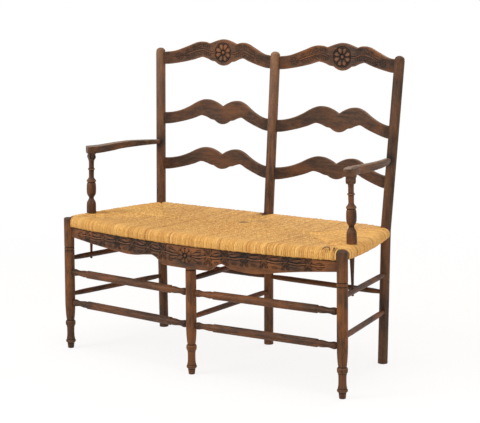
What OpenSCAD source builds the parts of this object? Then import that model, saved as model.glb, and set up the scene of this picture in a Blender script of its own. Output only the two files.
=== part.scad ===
// Two-seat ladder-back settee with turned legs, carved rails and a woven rush seat.
// Millimetres, +Z up, front towards -Y. The origin is on the floor, in the middle of the whole settee.

/* [Seat frame] */
// Height of the front corner legs
seat_h = 450; // [420:1:480]
// Distance between the front corner leg centres at their tops
front_w = 1058; // [980:1:1140]
// How much narrower the settee is between the back corner posts, at seat height, than between the legs
seat_taper = 153; // [100:1:200]
// Distance from the front corner legs to the back posts, centre to centre
seat_d = 411; // [380:1:450]
// How far the middle front leg stands ahead of the corner legs
middle_leg_ahead = 34; // [24:1:42]
// How far the foot of each front corner leg stands out from its top
leg_splay = 4.5; // [0:0.5:10]
// How far the foot of each back corner post stands in from the seat
post_tuck = 5.5; // [0:0.5:10]

/* [Front legs] */
// Diameter of the plain part of a front leg
leg_d = 34; // [30:0.5:38]
// Diameter of the two turned rings at the foot
ring_d = 33.4; // [29:0.2:36]
// Diameter of the slim part between the rings
ankle_d = 24.4; // [20:0.2:27]
// Diameter of the foot where it meets the floor
foot_d = 20; // [16:0.5:24]
// Height of the middle of the lower ring
lower_ring_h = 25; // [22:0.5:30]
// Height of the middle of the upper ring
upper_ring_h = 88; // [80:0.5:96]
// Height of the lower of the two scored lines
score_h = 339; // [325:1:350]
// Distance between the two scored lines
score_gap = 12; // [8:0.5:16]

/* [Back] */
// Height of the back posts
back_h = 998; // [940:1:1060]
// Diameter of the back posts
post_d = 33; // [30:0.2:35]
// How far the top of the back stands behind the seat
back_rake = 38; // [20:1:60]
// How far each corner post leans outwards at its top
back_flare = 21.5; // [5:0.5:30]
// How far to the right of the centre the middle post stands
middle_off = 3.5; // [-6:0.5:6]
// How far the middle post leans to the right at its top
middle_lean = 3.5; // [-6:0.5:6]
// Height of the dome on top of a post
dome_h = 12; // [8:0.5:16]
// Thickness of the back slats
slat_t = 11; // [9:0.5:13]
// How far each slat bows backwards in the middle of its bay
slat_bow = 46; // [30:1:56]
// How far a slat's front face stands ahead of the post centres
slat_ahead = 4; // [2:0.5:6]
// How far the right-hand slats rise towards the corner post
right_rise = 4; // [0:0.5:8]
// How far the right-hand slats sit towards the corner post
right_shift = 3.5; // [0:0.5:6]
// Height of the crest rail's lower edge at the posts
crest_z = 941; // [900:1:950]
// Depth of the crest rail at the posts
crest_end_h = 43; // [38:0.5:48]
// Top of the crest rail's shoulders over its lower edge
crest_shoulder_h = 83; // [72:0.5:88]
// Top of the crest rail's middle lobe over its lower edge
crest_lobe_h = 93; // [89:0.5:98]
// How far the hollows in the crest rail's lower edge rise
crest_hollow_h = 29.5; // [20:0.5:34]
// Height of the point in the middle of that edge
crest_point_h = 2; // [0:0.5:10]
// Height of the middle slat's lower edge at the posts
middle_slat_z = 732; // [700:1:760]
// Greatest height of the middle slat
middle_slat_h = 93; // [84:0.5:97]
// Depth of the notch in the middle slat's top edge
middle_notch = 22.5; // [14:0.5:26]
// How far the hollows in the middle slat's lower edge rise
middle_hollow_h = 36; // [26:0.5:40]
// Height of the point in the middle of that edge
middle_point_h = 8.5; // [2:0.5:14]
// Height of the lower slat's lower edge at the posts
lower_slat_z = 572.5; // [550:0.5:600]
// Greatest height of the lower slat
lower_slat_h = 85.5; // [78:0.5:92]
// Depth of the notch in the lower slat's top edge
lower_notch = 21.5; // [14:0.5:25]
// How far the hollows in the lower slat's lower edge rise
lower_hollow_h = 35; // [26:0.5:40]
// Height of the point in the middle of that edge
lower_point_h = 12.5; // [4:0.5:16]
// Depth of the middle and lower slats at the posts
slat_end_h = 40.5; // [36:0.5:44]

/* [Apron and seat rails] */
// How far the front of the seat bows forwards in the middle
front_bow = 58; // [44:1:66]
// Thickness of the carved apron
apron_t = 12; // [10:0.5:14]
// Depth of the apron at the corner legs
apron_end_h = 33; // [28:0.5:38]
// Depth of the apron in the middle
apron_mid_h = 71; // [66:0.5:78]
// How deep the left wing of the apron hangs, as a share of its extra depth in the middle
left_wing = 0.53; // [0.4:0.01:0.8]
// How deep its right wing hangs
right_wing = 0.77; // [0.4:0.01:0.8]
// Width of the bowed front seat rail
front_rail_w = 30; // [26:0.5:34]
// Thickness of the bowed front seat rail
front_rail_t = 20; // [17:0.5:22]
// Diameter of the side seat rails
side_rail_d = 28; // [26:0.5:30]
// Diameter of the back seat rails
back_rail_d = 24; // [20:0.5:26]

/* [Stretchers] */
// Diameter of the plain round stretchers
stretcher_d = 18; // [16:0.5:21]
// Diameter of the round tenons on the plain stretchers and the seat rails
tenon_d = 14; // [12:0.5:15]
// Height of the upper side stretchers at the front legs
side_upper_h = 311; // [300:1:325]
// Height of the lower side stretchers at the front legs
side_lower_h = 187; // [175:1:205]
// How far the right side stretchers fall towards the back
right_fall = 14; // [0:1:20]
// Height of the back stretchers
back_stretcher_h = 237; // [222:1:250]
// Height of the upper front stretchers
front_upper_h = 265; // [255:1:278]
// Height of the lower front stretchers
front_lower_h = 160; // [150:1:170]
// Height of the flat bar in the middle of a front stretcher
bar_h = 24.5; // [20:0.5:27]
// Thickness of that flat bar, front to back
bar_t = 17; // [14:0.5:20]
// Length of the turned part at each end of a front stretcher
turned_l = 78; // [64:1:90]

/* [Arms] */
// Height of the top of the arms at the front
arm_h = 684.5; // [660:0.5:710]
// Thickness of the arms at the front
arm_t = 24.5; // [21:0.5:28]
// Width of the block at the front of each arm
arm_block_w = 40; // [36:0.5:44]
// Width of an arm where it runs back to its post
arm_w = 25; // [21:0.5:28]
// How far the arm swings out between its support and its post
arm_swing = 13; // [6:0.5:18]
// Distance from the corner leg back to the arm support
support_back = 92.5; // [85:0.5:110]
// Greatest diameter of the turned arm support
support_d = 32; // [29:0.5:34]
// Diameter of the arm support's neck
neck_d = 17.4; // [15:0.2:19]
// Diameter of the shaft that goes down through the seat
shaft_d = 15; // [13:0.2:16]
// Diameter of its lower end, in the stretcher
peg_d = 8; // [7:0.2:9]
// Side of the square capital under the arm
capital_w = 30; // [26:0.5:32]

/* [Rush seat] */
// Thickness of the woven seat along its front and back
rush_t = 36; // [34:0.5:40]
// How far the rush stands above the front legs
rush_rise = 5; // [2:0.5:8]
// How far the rush stands out in front of the apron
rush_proud = 6; // [5:0.5:9]
// How far the side rolls swell beyond the plain roll
side_swell = 10; // [4:0.5:14]
// How much lower the side rolls hang in their middle
side_sag = 4; // [0:0.5:6]
// How far the middle of the seat is pressed down
seat_dip = 6; // [2:0.5:8]

/* [Fits] */
// Gap round a tenon in its hole
fit = 0.15; // [0.1:0.05:0.25]
// Gap between the end of a tenon and the centre of its leg
tenon_stop = 3; // [2:0.5:4]
// Gap between the rush and the wood that it wraps
rush_gap = 0.3; // [0.2:0.05:0.4]

/* [Hidden] */

$fn = 64;
oak = [0.30, 0.18, 0.10];
oak_light = [0.38, 0.24, 0.14];
straw = [0.80, 0.60, 0.30];
LEFT = -1;
MIDDLE = 0;
RIGHT = 1;
hair = 0.3;         // clearance between faces that lie against each other
overshoot = 5;      // how far a cutting shape runs past what it cuts

back_w = front_w - seat_taper;
leg_r = leg_d / 2;
post_r = post_d / 2;
tenon_r = tenon_d / 2;
back_tenon_r = tenon_r - 1.5;           // the back rails' tenons cross the side rails' in the corner posts
rake_angle = atan2(back_rake, back_h - seat_h);

// The front bow is an arc through both ends of the apron's face. The seat's front pieces are concentric with it.
face_ahead = 5;                         // the apron's face ahead of the corner leg centres
face_half = front_w / 2 - 12;           // half the chord of that arc
bow_r = (face_half * face_half + front_bow * front_bow) / (2 * front_bow);

// Front and back reach of the whole settee from the corner leg centres, which puts the origin in its middle.
front_reach = face_ahead + front_bow + rush_proud;
back_reach = seat_d + (crest_z + crest_lobe_h - seat_h) * tan(rake_angle)
    + (slat_bow - slat_ahead + slat_t) / cos(rake_angle);
leg_y = (front_reach - back_reach) / 2;
post_y = leg_y + seat_d;
bow_y = leg_y - face_ahead - front_bow + bow_r;

rush_top = seat_h + rush_rise;
rush_low = rush_top - rush_t;
rail_z = rush_top - rush_t / 2;
apron_top = rush_low - hair;

// A point on the centre line of a corner leg, the middle leg or a post, at height z.
function leg_at(side, z) = side == MIDDLE
    ? [0, leg_y - middle_leg_ahead, z]
    : [side * (front_w / 2 + leg_splay * (1 - z / seat_h)), leg_y, z];
function post_at(side, z) =
    let (k = max(0, (z - seat_h) / (back_h - seat_h)), y = post_y + back_rake * k)
    side == MIDDLE
    ? [middle_off + middle_lean * k, y, z]
    : [side * (back_w / 2 + back_flare * k - post_tuck * max(0, 1 - z / seat_h)), y, z];
function unit(v) = v / norm(v);
function slide(a, b, d) = a + unit(b - a) * d;

// A smooth curve through the points p, with n steps between each two.
function knot(p, i) = i < 0 ? 2 * p[0] - p[1] : i >= len(p) ? 2 * p[len(p) - 1] - p[len(p) - 2] : p[i];
function blend(a, b, c, d, t) =
    0.5 * (2 * b + (c - a) * t + (2 * a - 5 * b + 4 * c - d) * t * t + (3 * b - a - 3 * c + d) * t * t * t);
function curve(p, n = 5) = concat(
    [for (i = [0 : len(p) - 2], j = [0 : n - 1])
        blend(knot(p, i - 1), p[i], p[i + 1], knot(p, i + 2), j / n)],
    [p[len(p) - 1]]);
function flip(p) = [for (i = [len(p) - 1 : -1 : 0]) if (p[i][0] > 0) [-p[i][0], p[i][1]]];
function join(a, b) = concat(a, [for (i = [1 : len(b) - 1]) b[i]]);

// Turns +Z towards v.
module aim(v) {
    rotate([0, acos(v[2] / norm(v)), atan2(v[1], v[0])]) children();
}

// A round bar on the line from a to b, kept back from both points by stop.
module bar_between(a, b, r, stop) {
    translate(slide(a, b, stop)) aim(b - a) cylinder(h = norm(b - a) - 2 * stop, r = r);
}

// The holes that a bar's two round tenons need.
module tenon_holes(a, b, r) {
    bar_between(a, b, r + fit, tenon_stop - hair);
}

// Everything below the floor, which trims the leaning feet flat.
module below_floor() {
    translate([-front_w, -2 * seat_d, -100]) cube([2 * front_w, 4 * seat_d, 100]);
}

// Front legs

// Height and radius of the turned foot, from the floor up.
foot_profile = [
    [0, foot_d / 2 - 0.5],
    [1, foot_d / 2],
    [8, foot_d / 2 + 0.8],
    [lower_ring_h - 10, ankle_d / 2 - 0.6],
    [lower_ring_h - 6, ring_d / 2 - 3.5],
    [lower_ring_h - 3, ring_d / 2 - 0.8],
    [lower_ring_h, ring_d / 2],
    [lower_ring_h + 3, ring_d / 2 - 0.8],
    [lower_ring_h + 7, ring_d / 2 - 2.3],
    [lower_ring_h + 12, ankle_d / 2 + 1.1],
    [lower_ring_h + 18, ankle_d / 2 + 0.3],
    [(lower_ring_h + upper_ring_h) / 2 + 2, ankle_d / 2],
    [upper_ring_h - 19, ankle_d / 2 + 0.3],
    [upper_ring_h - 13, ankle_d / 2 + 1],
    [upper_ring_h - 8, ring_d / 2 - 1.4],
    [upper_ring_h - 4, ring_d / 2 - 0.2],
    [upper_ring_h + 1, ring_d / 2],
    [upper_ring_h + 5, ring_d / 2 - 0.5],
    [upper_ring_h + 8, ring_d / 2 - 2.2],
    [upper_ring_h + 12, ankle_d / 2 + 0.9],
    [upper_ring_h + 22, ankle_d / 2 + 2.2],
    [upper_ring_h + 42, leg_r - 1],
    [upper_ring_h + 58, leg_r - 0.3],
    [upper_ring_h + 76, leg_r]
];
function scored_line(z) = [[z - 1.6, leg_r], [z, leg_r - 1.1], [z + 1.6, leg_r]];
leg_cap = [[seat_h - 5, leg_r], [seat_h - 2, leg_r - 1], [seat_h - 0.5, leg_r - 3], [seat_h, leg_r - 6]];

module turned_leg(top_profile) {
    profile = concat(foot_profile, scored_line(score_h), scored_line(score_h + score_gap), top_profile);
    sunk = concat([[-1, profile[0][1]]], profile);
    rotate_extrude() polygon(concat([[0, -1]], [for (p = sunk) [p[1], p[0]]],
        [[0, profile[len(profile) - 1][0]]]));
}

module corner_leg(side) {
    color(oak) difference() {
        translate(leg_at(side, 0)) aim(leg_at(side, seat_h) - leg_at(side, 0)) turned_leg(leg_cap);
        below_floor();
        apron_board(fit);
        front_rail_tenon_space();
        tenon_holes(leg_at(side, rail_z), post_at(side, rail_z), tenon_r);
        front_stretcher_holes(side);
        side_stretcher_holes(side);
    }
}

module front_leg_left() {
    corner_leg(LEFT);
}

module front_leg_right() {
    corner_leg(RIGHT);
}

// The middle leg ends under the front seat rail, with a tenon that is cut ahead of its centre.
middle_leg_top = rail_z - front_rail_t / 2 - hair;
middle_tenon_h = 14;
middle_tenon_r = 6.5;
front_rail_y = bow_y - bow_r + front_rail_w / 2 + 1;

module front_leg_middle() {
    color(oak) difference() {
        union() {
            translate(leg_at(MIDDLE, 0)) turned_leg([[middle_leg_top, leg_r]]);
            translate([0, front_rail_y + 2, middle_leg_top - 1])
                cylinder(h = middle_tenon_h + 1, r = middle_tenon_r);
        }
        below_floor();
        bow_wall(-hair, apron_t + 2 * hair, apron_top - 2 * apron_mid_h, rush_top, front_w / 2);
        apron_dowel_pair(apron_dowel_r + fit, apron_dowel_l + hair);
        for (side = [LEFT, RIGHT]) front_stretcher_holes(side);
        middle_stretcher_holes();
    }
}

// Back posts

bend_lap = 3;       // how far the two straight lengths of a post run into each other, inside the rush
bend_step = 0.5;    // how much slimmer a post is below its bend

module raked_post(side) {
    foot = post_at(side, 0);
    bend = post_at(side, seat_h);
    apex = post_at(side, back_h);
    upper_l = norm(apex - bend);
    shoulder = upper_l - dome_h;
    dome = [for (a = [0 : 10 : 90]) [(post_r - 0.6) * cos(a), shoulder + dome_h * sin(a)]];
    difference() {
        translate(foot) aim(bend - foot) translate([0, 0, -overshoot])
            cylinder(h = norm(bend - foot) + overshoot + bend_lap, r = post_r - bend_step);
        below_floor();
    }
    translate(bend) aim(apex - bend) rotate_extrude() polygon(concat(
        [[0, -bend_lap], [post_r, -bend_lap], [post_r, shoulder - 3], [post_r - 1, shoulder - 2],
            [post_r - 1, shoulder - 1]], dome));
}

module back_post(side) {
    color(oak) difference() {
        raked_post(side);
        for (bay = side == MIDDLE ? [LEFT, RIGHT] : [side]) {
            slat_blank(bay, crest_z, crest_end_h, fit);
            slat_blank(bay, middle_slat_z, slat_end_h, fit);
            slat_blank(bay, lower_slat_z, slat_end_h, fit);
            tenon_holes(post_at(MIDDLE, rail_z), post_at(bay, rail_z), back_tenon_r);
            tenon_holes(post_at(MIDDLE, back_stretcher_h), post_at(bay, back_stretcher_h), tenon_r);
        }
        if (side == MIDDLE) middle_stretcher_holes();
        if (side != MIDDLE) {
            tenon_holes(leg_at(side, rail_z), post_at(side, rail_z), tenon_r);
            side_stretcher_holes(side);
            arm_tenon(side, fit);
        }
    }
}

module back_post_left() {
    back_post(LEFT);
}

module back_post_middle() {
    back_post(MIDDLE);
}

module back_post_right() {
    back_post(RIGHT);
}

// Back slats. Each is an upright board, sawn to an outline and bent to an arc, that leans back with the posts.

function bay_half(bay, z) = abs(post_at(bay, z)[0]) / 2;
function bay_middle(bay, z) = bay * bay_half(bay, z) + (bay == RIGHT ? right_shift : 0);

// How far a slat runs from its middle into the post on one side of its bay.
function slat_reach(bay, z, side) =
    abs(post_at(side == bay ? bay : MIDDLE, z)[0] - bay_middle(bay, z)) - tenon_stop;

// Puts a slat's middle, on the post line at height z, at the origin, leaning with the posts.
module in_bay(bay, z) {
    tilt = bay == RIGHT ? atan2(right_rise, 2 * bay_half(bay, z)) : 0;
    translate([bay_middle(bay, z), post_at(bay, z)[1], z]) rotate([-rake_angle, 0, 0])
        rotate([0, -tilt, 0]) children();
}

// The arc that a slat is bent to, as a curved wall from height low to height high.
module slat_arc(half, low, high, grow) {
    chord = half - post_r;
    r = (chord * chord + slat_bow * slat_bow) / (2 * slat_bow);
    sweep = asin(half / r) + 1;
    translate([0, slat_bow - slat_ahead - r, 0]) rotate([0, 0, 90 - sweep])
        rotate_extrude(angle = 2 * sweep, $fn = 360)
            translate([r - grow, low]) square([slat_t + 2 * grow, high - low]);
}

// The straight ends of a slat, which fill the mortises, as one wall from post to post.
module slat_blank(bay, z, end_h, grow) {
    left = slat_reach(bay, z, LEFT) + grow;
    right = slat_reach(bay, z, RIGHT) + grow;
    in_bay(bay, z) intersection() {
        slat_arc(bay_half(bay, z), -grow, end_h + grow, grow);
        translate([-left, -post_d, -post_d]) cube([left + right, 4 * post_d, 2 * end_h + post_d]);
    }
}

// Outline of half a slat, from its middle to its post, as shares of the length and heights over its lower edge.
function slat_top(end_h, high, notch) =
    curve([[0, notch], [0.046, high - (high - notch) * 0.72], [0.092, high - (high - notch) * 0.48],
        [0.15, high - (high - notch) * 0.25], [0.21, high - (high - notch) * 0.08], [0.29, high],
        [0.37, high - (high - end_h) * 0.04], [0.475, high - (high - end_h) * 0.22],
        [0.6, high - (high - end_h) * 0.53], [0.74, high - (high - end_h) * 0.8],
        [0.88, high - (high - end_h) * 0.955], [1, end_h]]);
function slat_under(rise, pendant) = concat(
    curve([[1, 0], [0.88, rise * 0.07], [0.69, rise * 0.35], [0.52, rise * 0.68], [0.43, rise * 0.92],
        [0.37, rise], [0.28, rise - (rise - pendant) * 0.19], [0.21, rise - (rise - pendant) * 0.43],
        [0.16, rise - (rise - pendant) * 0.5]]),
    curve([[0.145, rise - (rise - pendant) * 0.52], [0.092, rise - (rise - pendant) * 0.79],
        [0.046, rise - (rise - pendant) * 0.94], [0, pendant]]));
function crest_top() = join(
    curve([[0, crest_lobe_h], [0.05, crest_lobe_h - 1], [0.105, crest_lobe_h - 4],
        [0.164, crest_lobe_h - 8.2], [0.22, crest_shoulder_h - 2.8], [0.26, crest_shoulder_h - 5.5]]),
    curve([[0.26, crest_shoulder_h - 5.5], [0.32, crest_shoulder_h - 1.2], [0.38, crest_shoulder_h],
        [0.43, crest_shoulder_h - 0.8], [0.5, crest_shoulder_h - 4.8],
        [0.59, crest_shoulder_h - (crest_shoulder_h - crest_end_h) * 0.34],
        [0.68, crest_shoulder_h - (crest_shoulder_h - crest_end_h) * 0.55],
        [0.78, crest_shoulder_h - (crest_shoulder_h - crest_end_h) * 0.78],
        [0.87, crest_shoulder_h - (crest_shoulder_h - crest_end_h) * 0.92], [1, crest_end_h]]));

tallest_slat = max(crest_lobe_h, middle_slat_h, lower_slat_h);

// A slat: its outline runs on straight into both mortises. clear is half the length that shows between the posts.
module shaped_slat(bay, z, end_h, top, under) {
    half = bay_half(bay, z);
    clear = half - post_r + 2;
    sides = [for (side = [LEFT, RIGHT]) let (end = slat_reach(bay, z, side))
        concat([for (p = top) [p[0] * clear, p[1]]], [[end, end_h], [end, 0]],
            [for (p = under) [p[0] * clear, p[1]]])];
    color(oak_light) in_bay(bay, z) intersection() {
        slat_arc(half, -overshoot, tallest_slat + overshoot, 0);
        translate([0, 2 * post_d + slat_bow, 0]) rotate([90, 0, 0])
            linear_extrude(3 * post_d + slat_bow) polygon(concat(sides[1], flip(sides[0])));
    }
}

module crest_rail(bay) {
    shaped_slat(bay, crest_z, crest_end_h, crest_top(),
        slat_under(crest_hollow_h, crest_point_h));
}

module middle_slat(bay) {
    shaped_slat(bay, middle_slat_z, slat_end_h,
        slat_top(slat_end_h, middle_slat_h, middle_slat_h - middle_notch),
        slat_under(middle_hollow_h, middle_point_h));
}

module lower_slat(bay) {
    shaped_slat(bay, lower_slat_z, slat_end_h,
        slat_top(slat_end_h, lower_slat_h, lower_slat_h - lower_notch),
        slat_under(lower_hollow_h, lower_point_h));
}

module crest_rail_left() {
    crest_rail(LEFT);
}

module crest_rail_right() {
    crest_rail(RIGHT);
}

module middle_slat_left() {
    middle_slat(LEFT);
}

module middle_slat_right() {
    middle_slat(RIGHT);
}

module lower_slat_left() {
    lower_slat(LEFT);
}

module lower_slat_right() {
    lower_slat(RIGHT);
}

// Apron and front seat rail, both on the front bow

// A curved wall concentric with the front bow, inset from the apron's face, as wide as reach each way.
module bow_wall(inset, thick, low, high, reach) {
    sweep = asin(reach / bow_r) + 1;
    intersection() {
        translate([0, bow_y, 0]) rotate([0, 0, -90 - sweep]) rotate_extrude(angle = 2 * sweep, $fn = 720)
            translate([bow_r - inset - thick, low]) square([thick, high - low]);
        translate([-reach, leg_y - 2 * front_bow, low - overshoot])
            cube([2 * reach, 4 * front_bow, high - low + 2 * overshoot]);
    }
}

leg_reach = front_w / 2 - tenon_stop;

// The apron before its lower edge is sawn, used as the space that it fills in the legs.
module apron_board(grow) {
    bow_wall(-grow, apron_t + 2 * grow, apron_top - apron_end_h - grow, apron_top + grow, leg_reach + grow);
}

// Lower edge of half the apron: share of the half length, and share of the extra depth in the middle.
function apron_edge(wing) = join(
    curve([[0, 1], [0.1, 0.985], [0.165, 0.95], [0.185, 0.86], [0.2, 0.73], [0.215, 0.56], [0.235, 0.39],
        [0.263, 0.25]], 3),
    curve([[0.263, 0.25], [0.33, wing - 0.18], [0.39, wing - 0.05], [0.465, wing], [0.525, wing - 0.04],
        [0.63, wing * 0.47 + 0.14], [0.775, 0.25], [0.9, 0.1], [1, 0]]));

module front_apron() {
    half = front_w / 2 - leg_r + 2;
    extra = apron_mid_h - apron_end_h;
    low = apron_top - apron_end_h;
    sides = [for (wing = [left_wing, right_wing])
        concat([for (p = apron_edge(wing)) [p[0] * half, low - p[1] * extra]],
            [[leg_reach, low], [leg_reach, apron_top]])];
    color(oak) difference() {
        intersection() {
            bow_wall(0, apron_t, low - extra - overshoot, apron_top, leg_reach);
            translate([0, leg_y + 2 * front_bow, 0]) rotate([90, 0, 0]) linear_extrude(4 * front_bow)
                polygon(concat(sides[1], flip(sides[0])));
        }
        apron_dowel_pair(apron_dowel_r + fit, apron_dowel_l + hair);
    }
}

// Two blind dowels that hold the apron to the middle leg.
apron_dowel_r = 3;
apron_dowel_l = 22;
apron_dowel_drop = 14;
apron_dowel_gap = 30;
apron_dowel_y = bow_y - bow_r + 4;

module apron_dowel_pair(r, l) {
    for (k = [0, 1]) translate([0, apron_dowel_y + apron_dowel_l - l, apron_top - apron_dowel_drop
        - k * apron_dowel_gap]) rotate([-90, 0, 0]) cylinder(h = 2 * l - apron_dowel_l, r = r);
}

module apron_dowels() {
    color(oak_light) apron_dowel_pair(apron_dowel_r, apron_dowel_l);
}

front_tenon_t = 12;
front_tenon_h = 14;

module front_rail_tenon(grow) {
    bow_wall(1 - grow, front_tenon_t + 2 * grow, rail_z - front_tenon_h / 2 - grow,
        rail_z + front_tenon_h / 2 + grow, leg_reach + grow);
}

module front_rail_tenon_space() {
    front_rail_tenon(fit);
}

module front_rail_body(grow) {
    bow_wall(1 - grow, front_rail_w + 2 * grow, rail_z - front_rail_t / 2 - grow,
        rail_z + front_rail_t / 2 + grow, front_w / 2 - leg_r - 4 + grow);
}

module front_seat_rail() {
    color(oak) difference() {
        union() {
            front_rail_body(0);
            front_rail_tenon(0);
        }
        translate([0, front_rail_y + 2, middle_leg_top - overshoot])
            cylinder(h = middle_tenon_h + overshoot + hair, r = middle_tenon_r + fit);
        for (side = [LEFT, RIGHT]) tenon_holes(leg_at(side, rail_z), post_at(side, rail_z), tenon_r);
    }
}

// Side and back seat rails: round bars with slimmer round tenons

// A bar of radius r with tenons at both ends, its shoulders at the given distances from the leg centres.
module shouldered_bar(a, b, r, small_r, at_a, at_b) {
    l = norm(b - a);
    translate(a) aim(b - a) rotate_extrude() polygon([[0, tenon_stop], [small_r, tenon_stop],
        [small_r, at_a], [r - 2, at_a], [r, at_a + 4], [r, l - at_b - 4], [r - 2, l - at_b],
        [small_r, l - at_b], [small_r, l - tenon_stop], [0, l - tenon_stop]]);
}

module side_seat_rail(side) {
    color(oak) difference() {
        shouldered_bar(leg_at(side, rail_z), post_at(side, rail_z), side_rail_d / 2, tenon_r,
            leg_r + 1, post_r + 1);
        support_shaft_hole(side);
    }
}

module side_seat_rail_left() {
    side_seat_rail(LEFT);
}

module side_seat_rail_right() {
    side_seat_rail(RIGHT);
}

module back_seat_rail(bay) {
    color(oak) difference() {
        shouldered_bar(post_at(MIDDLE, rail_z), post_at(bay, rail_z), back_rail_d / 2, back_tenon_r,
            post_r + 1, post_r + 1);
        tenon_holes(leg_at(bay, rail_z), post_at(bay, rail_z), tenon_r);
    }
}

module back_seat_rail_left() {
    back_seat_rail(LEFT);
}

module back_seat_rail_right() {
    back_seat_rail(RIGHT);
}

// Stretchers

// A plain round stretcher that swells from its tenons to its full thickness.
module plain_stretcher(a, b) {
    l = norm(b - a);
    r = stretcher_d / 2;
    translate(a) aim(b - a) rotate_extrude() polygon([[0, tenon_stop], [tenon_r, tenon_stop],
        [tenon_r, leg_r + 1], [r - 0.5, leg_r + 26], [r, leg_r + 60], [r, l - leg_r - 60],
        [r - 0.5, l - leg_r - 26], [tenon_r, l - leg_r - 1], [tenon_r, l - tenon_stop], [0, l - tenon_stop]]);
}

function side_fall(side) = side == RIGHT ? right_fall : 0;

module side_stretcher_holes(side) {
    for (z = [side_upper_h, side_lower_h])
        tenon_holes(leg_at(side, z), post_at(side, z - side_fall(side)), tenon_r);
}

module side_stretcher(side, z) {
    color(oak_light) difference() {
        plain_stretcher(leg_at(side, z), post_at(side, z - side_fall(side)));
        support_peg_hole(side);
    }
}

module side_stretcher_upper_left() {
    side_stretcher(LEFT, side_upper_h);
}

module side_stretcher_upper_right() {
    side_stretcher(RIGHT, side_upper_h);
}

module side_stretcher_lower_left() {
    side_stretcher(LEFT, side_lower_h);
}

module side_stretcher_lower_right() {
    side_stretcher(RIGHT, side_lower_h);
}

module middle_stretcher_holes() {
    for (z = [side_upper_h, side_lower_h]) tenon_holes(leg_at(MIDDLE, z - 2), post_at(MIDDLE, z - 2), tenon_r);
}

module middle_stretcher(z) {
    color(oak_light) plain_stretcher(leg_at(MIDDLE, z - 2), post_at(MIDDLE, z - 2));
}

module middle_stretcher_upper() {
    middle_stretcher(side_upper_h);
}

module middle_stretcher_lower() {
    middle_stretcher(side_lower_h);
}

module back_stretcher(bay) {
    color(oak_light) plain_stretcher(post_at(MIDDLE, back_stretcher_h), post_at(bay, back_stretcher_h));
}

module back_stretcher_left() {
    back_stretcher(LEFT);
}

module back_stretcher_right() {
    back_stretcher(RIGHT);
}

front_tenon_r = 6.5;

module front_stretcher_holes(side) {
    for (z = [front_upper_h, front_lower_h]) tenon_holes(leg_at(MIDDLE, z), leg_at(side, z), front_tenon_r);
}

// The turned end of a front stretcher, from the leg's centre outwards: distance and radius.
end_profile = [[tenon_stop, front_tenon_r], [leg_r - 2, front_tenon_r], [leg_r + 0.5, 8.6],
    [leg_r + 4, 10.8], [leg_r + 9, 11.8], [leg_r + 14, 11.4], [leg_r + 20, 9.9], [leg_r + 27, 9],
    [leg_r + 34, 9.2], [leg_r + 42, 10.3], [leg_r + 50, 11.2], [leg_r + turned_l - 21, 11.3],
    [leg_r + turned_l - 18, 10.6], [leg_r + turned_l - 15, 10.6], [leg_r + turned_l - 12, 11.4],
    [leg_r + turned_l, 11.6]];

bar_lap = 12;       // how far the flat bar runs into each turned end
bar_edge = 4;       // how much is taken off its long edges
function bar_corner(sx, sy) =
    let (
        low = [sx * bar_h / 2, sy * (bar_t / 2 - bar_edge)],
        high = [sx * (bar_h / 2 - bar_edge), sy * bar_t / 2])
    sx * sy > 0 ? [low, high] : [high, low];

module front_stretcher(side, z) {
    a = leg_at(MIDDLE, z);
    b = leg_at(side, z);
    l = norm(b - a);
    turned = leg_r + turned_l;
    color(oak_light) translate(a) rotate([0, 0, atan2(b[1] - a[1], b[0] - a[0])]) rotate([0, 90, 0]) {
        rotate_extrude() polygon(concat([[0, tenon_stop]], [for (p = end_profile) [p[1], p[0]]],
            [for (i = [len(end_profile) - 1 : -1 : 0]) [end_profile[i][1], l - end_profile[i][0]]],
            [[0, l - tenon_stop]]));
        // the flat bar, with its long edges taken off
        translate([0, 0, turned - bar_lap]) linear_extrude(l - 2 * (turned - bar_lap)) polygon([
            for (q = [[1, 1], [-1, 1], [-1, -1], [1, -1]]) each bar_corner(q[0], q[1])]);
    }
}

module front_stretcher_upper_left() {
    front_stretcher(LEFT, front_upper_h);
}

module front_stretcher_upper_right() {
    front_stretcher(RIGHT, front_upper_h);
}

module front_stretcher_lower_left() {
    front_stretcher(LEFT, front_lower_h);
}

module front_stretcher_lower_right() {
    front_stretcher(RIGHT, front_lower_h);
}

// Arms and their supports. An arm is drawn for the right side and mirrored for the left.

arm_low = arm_h - arm_t;                // underside of the arm's front block
support_tuck = 26.5;                    // how far the top of a support stands in from its leg
arm_yaw = 40;                           // how far the front of an arm turns outwards, in degrees
arm_edge = 3;                           // how much is taken off an arm's long edges
scroll_r = 8.5;                         // radius of the scroll under the front of an arm
scroll_w = 30;                          // width of that scroll
arm_socket_r = 6.5;
arm_socket_h = 15;
arm_tenon_r = 4;
arm_tail_drop = 14.5;                   // how far the arm's rear tenon lies under the arm's top
peg_nub = 5;                            // how far a support's peg shows below its stretcher

// The support's centre line runs from the side stretcher up to the arm.
function support_foot(side) =
    let (a = leg_at(side, side_upper_h), b = post_at(side, side_upper_h - side_fall(side)))
    a + (b - a) * support_back / seat_d;
function support_top(side) = [side * (front_w / 2 - support_tuck), leg_y + support_back, arm_low];
function support_at(side, z) =
    let (a = support_foot(side), b = support_top(side))
    a + (b - a) * (z - a[2]) / (b[2] - a[2]);

module support_shaft_hole(side) {
    bar_between(support_at(side, rail_z - side_rail_d), support_at(side, rail_z + side_rail_d),
        shaft_d / 2 + fit, 0);
}

module support_peg_hole(side) {
    bar_between(support_at(side, side_upper_h - 2 * stretcher_d), support_at(side, side_upper_h + stretcher_d),
        peg_d / 2 + fit, 0);
}

module support_tenon(side, r, top) {
    bar_between(support_at(side, arm_low - 2 * scroll_r - 3), support_at(side, arm_low + top), r, 0);
}

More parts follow.
